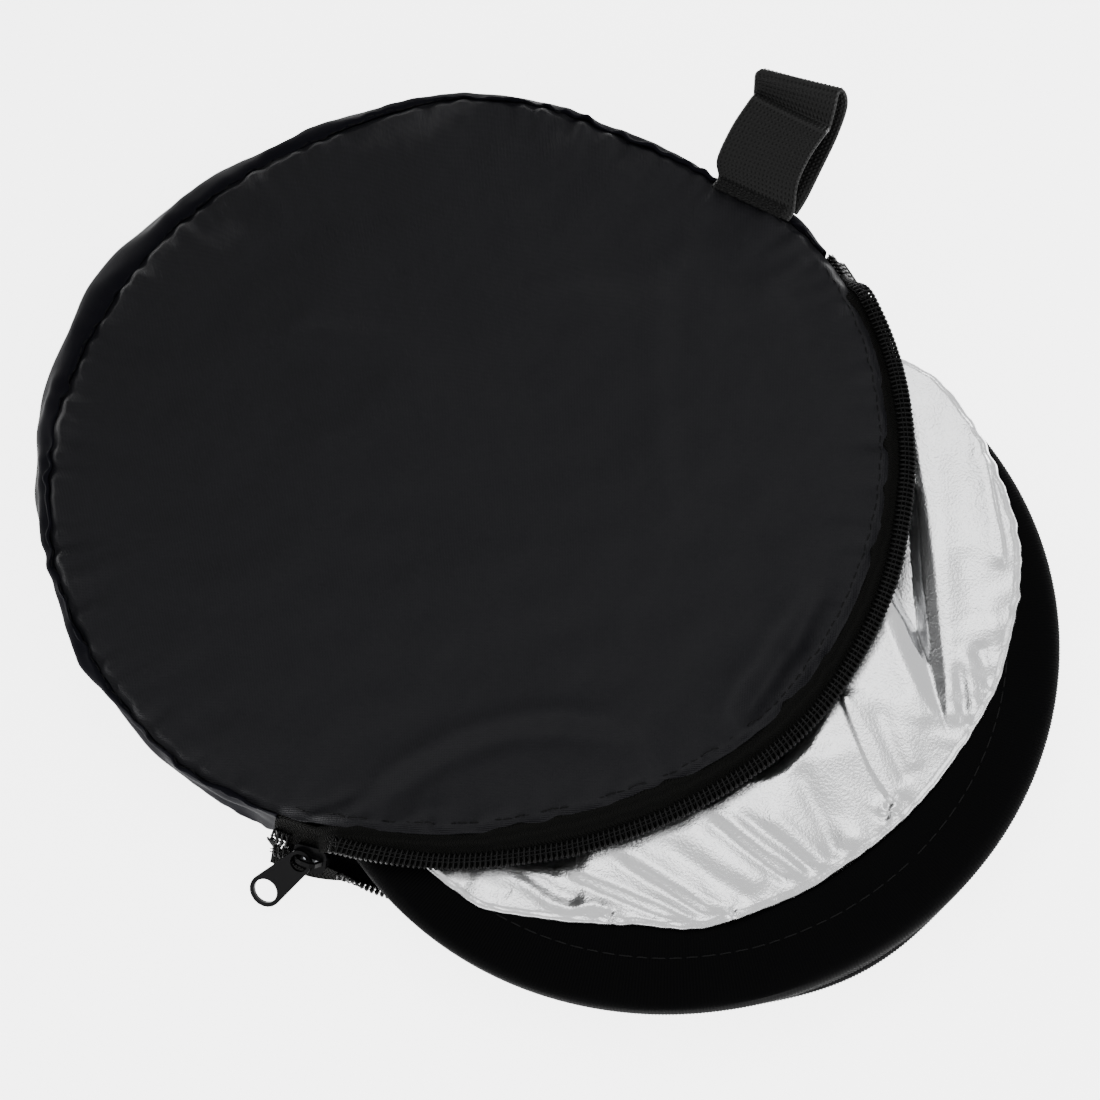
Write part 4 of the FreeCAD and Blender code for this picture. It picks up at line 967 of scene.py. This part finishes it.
    # loose creases in the part that lies inside the bag
    inside = 1 - smooth((np.hypot(X, Y) - 96) / 18.0)
    for pts, a_, w_ in (([(20, 40), (52, 34), (78, 12), (104, 6)], 0.75, 6.0), ([(14, -18), (40, -24), (66, -12), (92, -20)], -0.8, 6.5),
                        ([(40, -66), (60, -48), (84, -44), (104, -34)], 0.7, 5.0), ([(46, 72), (66, 56), (88, 46), (100, 30)], -0.75, 5.0),
                        ([(24, 8), (46, 4), (60, 14), (84, 32)], -0.6, 4.0), ([(62, -80), (70, -60), (72, -38), (82, -20)], -0.6, 4.5),
                        ([(70, 84), (76, 64), (74, 44), (84, 24)], 0.6, 4.0), ([(0, -4), (22, -4), (42, -8)], 0.5, 3.5)):
        z += fold(X, Y, pts, a_, w_, w_ * 0.6, 1, 0.3, 0.3) * inside
    z = np.minimum(z, 19.7 + (z - 19.7) * (1 - inside))
    # gathers that run together at the hem
    ga = Noise(99, 11.0, 24, 1)(np.radians(be) * 90 + 0.35 * inn) * 0.13 + Noise(100, 4.6, 24, 1)(np.radians(be) * 90) * 0.015
    z += ga * np.exp(-(inn / 9.0) ** 1.4) * smooth(inn / 1.0) * (1 - 0.55 * hang_of(be))
    # knots of cloth pinched into the hem
    for kx, ky, kr in ((162.3, 3.4, 3.6), (129.8, -68.6, 3.0), (152.6, -45.5, 2.2)):
        d = np.hypot(X - kx, Y - ky)
        an = np.arctan2(Y - ky, X - kx)
        z += 0.75 * np.exp(-(d / kr) ** 2) * (0.4 + 0.6 * np.cos(3 * an + d * 0.9))
    z = np.minimum(z, 20.3 - 0.15 * np.exp(-(z - 20.3)))
    floor_ = 18.1 - 7.5 * (1 - smooth((r - 73.5) / 8.0))               # the cloth lies on the rim where it reaches it
    z = floor_ + np.log1p(np.exp((z - floor_) / 0.18)) * 0.18
    # the hem rolls over and down on to the rim
    z -= 0.55 * smooth((1.5 - inn) / 1.5) ** 1.7
    return z


def hang_of(be):
    return smooth((be - 40) / 12) * smooth((100 - be) / 12)


Zs = silver_height(X, Y, r, rbv[:, None], BE)
TOPS = np.stack([X, Y, Zs], -1)
# turned-under part
NT2 = 16
k = np.linspace(0, 1, NT2 + 1)[1:]
ang = k * PI * 0.92
rad_h = 0.75 + 0.65 * hang[:, None]
zend = Zs[:, -1:]
dropn = zend - rad_h * (1 - np.cos(ang))[None] * 0.9
Rn = rbv[:, None] + rad_h * np.sin(ang)[None] * 0.8 - smooth((k[None] - 0.55) / 0.45) * (2.0 + 1.6 * hang[:, None])
Rn = Rn + hang[:, None] * 0.14 * scal(sb * 1.7 + 55)[:, None] * k[None]
dropn = dropn - hang[:, None] * (1.2 * k[None] ** 1.5)
UX, UY = DX + Rn * np.cos(np.radians(be))[:, None], Rn * np.sin(np.radians(be))[:, None]
UND = np.stack([UX, UY, dropn], -1)
SILV = np.concatenate([TOPS, UND], 1)
Nv = normals_of(SILV, True)
if Nv[:, 40, 2].mean() < 0:
    Nv = -Nv
sil = obj_from("silver_cloth", SILV.reshape(-1, 3), quads_of(NB, SILV.shape[1], True, flip=True), np.stack([SILV[..., 0], SILV[..., 1]], -1).reshape(-1, 2))
dress(sil, "silver_face", "disc")
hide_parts("silver_face_panel")

# ------------------------------------------------------------------ disc: reverse cloth
NQ2 = 70
be2 = np.arange(420) * 360.0 / 420
r = np.linspace(0.0004, 1, NQ2)[None, :] * (84.5 + 0 * be2[:, None])
X, Y = DX + r * np.cos(np.radians(be2))[:, None], r * np.sin(np.radians(be2))[:, None]
z = 5.3 + 0.45 * s1(X + 90, Y) + 0.35 * s2(X - 20, Y) + 0.1 * s3(X, Y)
for kk in range(17):
    a_ = RNG.uniform(0, 2 * PI)
    d_ = RNG.uniform(-62, 62)
    c_, s_ = math.cos(a_), math.sin(a_)
    p0 = (DX + d_ * c_ - 76 * s_, d_ * s_ + 76 * c_)
    p1 = (DX + d_ * c_ + 5 * c_ + 0 * s_, d_ * s_ + 5 * s_)
    p2 = (DX + d_ * c_ + 76 * s_, d_ * s_ - 76 * c_)
    z += fold(X, Y, [p0, p1, p2], RNG.choice([-0.9, 0.9]), 1.7, 2.6, 1, 0.12, 0.12)
z = np.clip(z, 4.2, 8.0)
REV = np.stack([X, Y, z], -1)
rev = obj_from("reverse_cloth", REV.reshape(-1, 3), quads_of(420, NQ2, True), np.stack([X, Y], -1).reshape(-1, 2))
dress(rev, "white_face", "disc")
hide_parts("reverse_face_panel")

# ------------------------------------------------------------------ floor, light, camera
bpy.ops.mesh.primitive_plane_add(size=6.0, location=(0, 0, 0))
floor = bpy.context.object
floor.name = "floor"
m, nt, b = material("floor_paper", (0.93, 0.93, 0.93), 0.9, spec=0.1)
b.inputs["Emission Color"].default_value = (1, 1, 1, 1)
b.inputs["Emission Strength"].default_value = 4.5
floor.data.materials.append(m)

world = bpy.data.worlds.new("studio")
bpy.context.scene.world = world
world.use_nodes = True
bg = world.node_tree.nodes["Background"]
bg.inputs[0].default_value = (1.0, 1.0, 1.0, 1)
bg.inputs[1].default_value = 0.8


def softbox(name, direction, dist, w, h, power, target=(0.03, 0, 0.01)):
    d = Vector(direction).normalized()
    L = bpy.data.lights.new(name, "AREA")
    L.shape = "RECTANGLE"
    L.size, L.size_y = w, h
    L.energy = power
    o_ = bpy.data.objects.new(name, L)
    bpy.context.scene.collection.objects.link(o_)
    o_.location = Vector(target) + d * dist
    o_.rotation_mode = "QUATERNION"
    o_.rotation_quaternion = d.to_track_quat("Z", "Y")
    return o_


softbox("key", (-0.42, 0.30, 0.86), 1.6, 1.2, 0.9, 7.8)
softbox("right", (0.80, 0.45, 0.55), 1.6, 1.1, 1.0, 6.0)
softbox("low", (0.25, -0.85, 0.45), 1.7, 1.1, 0.7, 6.0)
flag = obj_from("dark_card", np.array([(-430, -260, 120), (-430, 360, 120), (-255, 360, 490), (-255, -260, 490)], float), [(0, 1, 2, 3)], flat=True)
m, nt, b = material("black_card", (0.01, 0.01, 0.01), 0.9, spec=0.05)
flag.data.materials.append(m)
flag.visible_camera = False        # it only darkens what the silver mirrors

cam = bpy.data.cameras.new("camera")
co = bpy.data.objects.new("camera", cam)
bpy.context.scene.collection.objects.link(co)
cam.sensor_width = 36.0
cam.lens = 36.0 * 2600.0 / 1100.0
azc, elc, roll = math.radians(61.87), math.radians(64.48), math.radians(-17.47)
back_ = Vector((math.sin(azc) * math.cos(elc), -math.cos(azc) * math.cos(elc), math.sin(elc)))
right_ = Vector((math.cos(azc), math.sin(azc), 0))
up_ = right_.cross(-back_)
r2 = right_ * math.cos(roll) + up_ * math.sin(roll)
u2 = -right_ * math.sin(roll) + up_ * math.cos(roll)
loc = Vector((0.03672, -0.0032, 0.010)) + back_ * 0.74264
co.matrix_world = Matrix(((r2.x, u2.x, back_.x, loc.x), (r2.y, u2.y, back_.y, loc.y), (r2.z, u2.z, back_.z, loc.z), (0, 0, 0, 1)))
cam.clip_start, cam.clip_end = 0.05, 20.0
cam.dof.use_dof = False
bpy.context.scene.camera = co
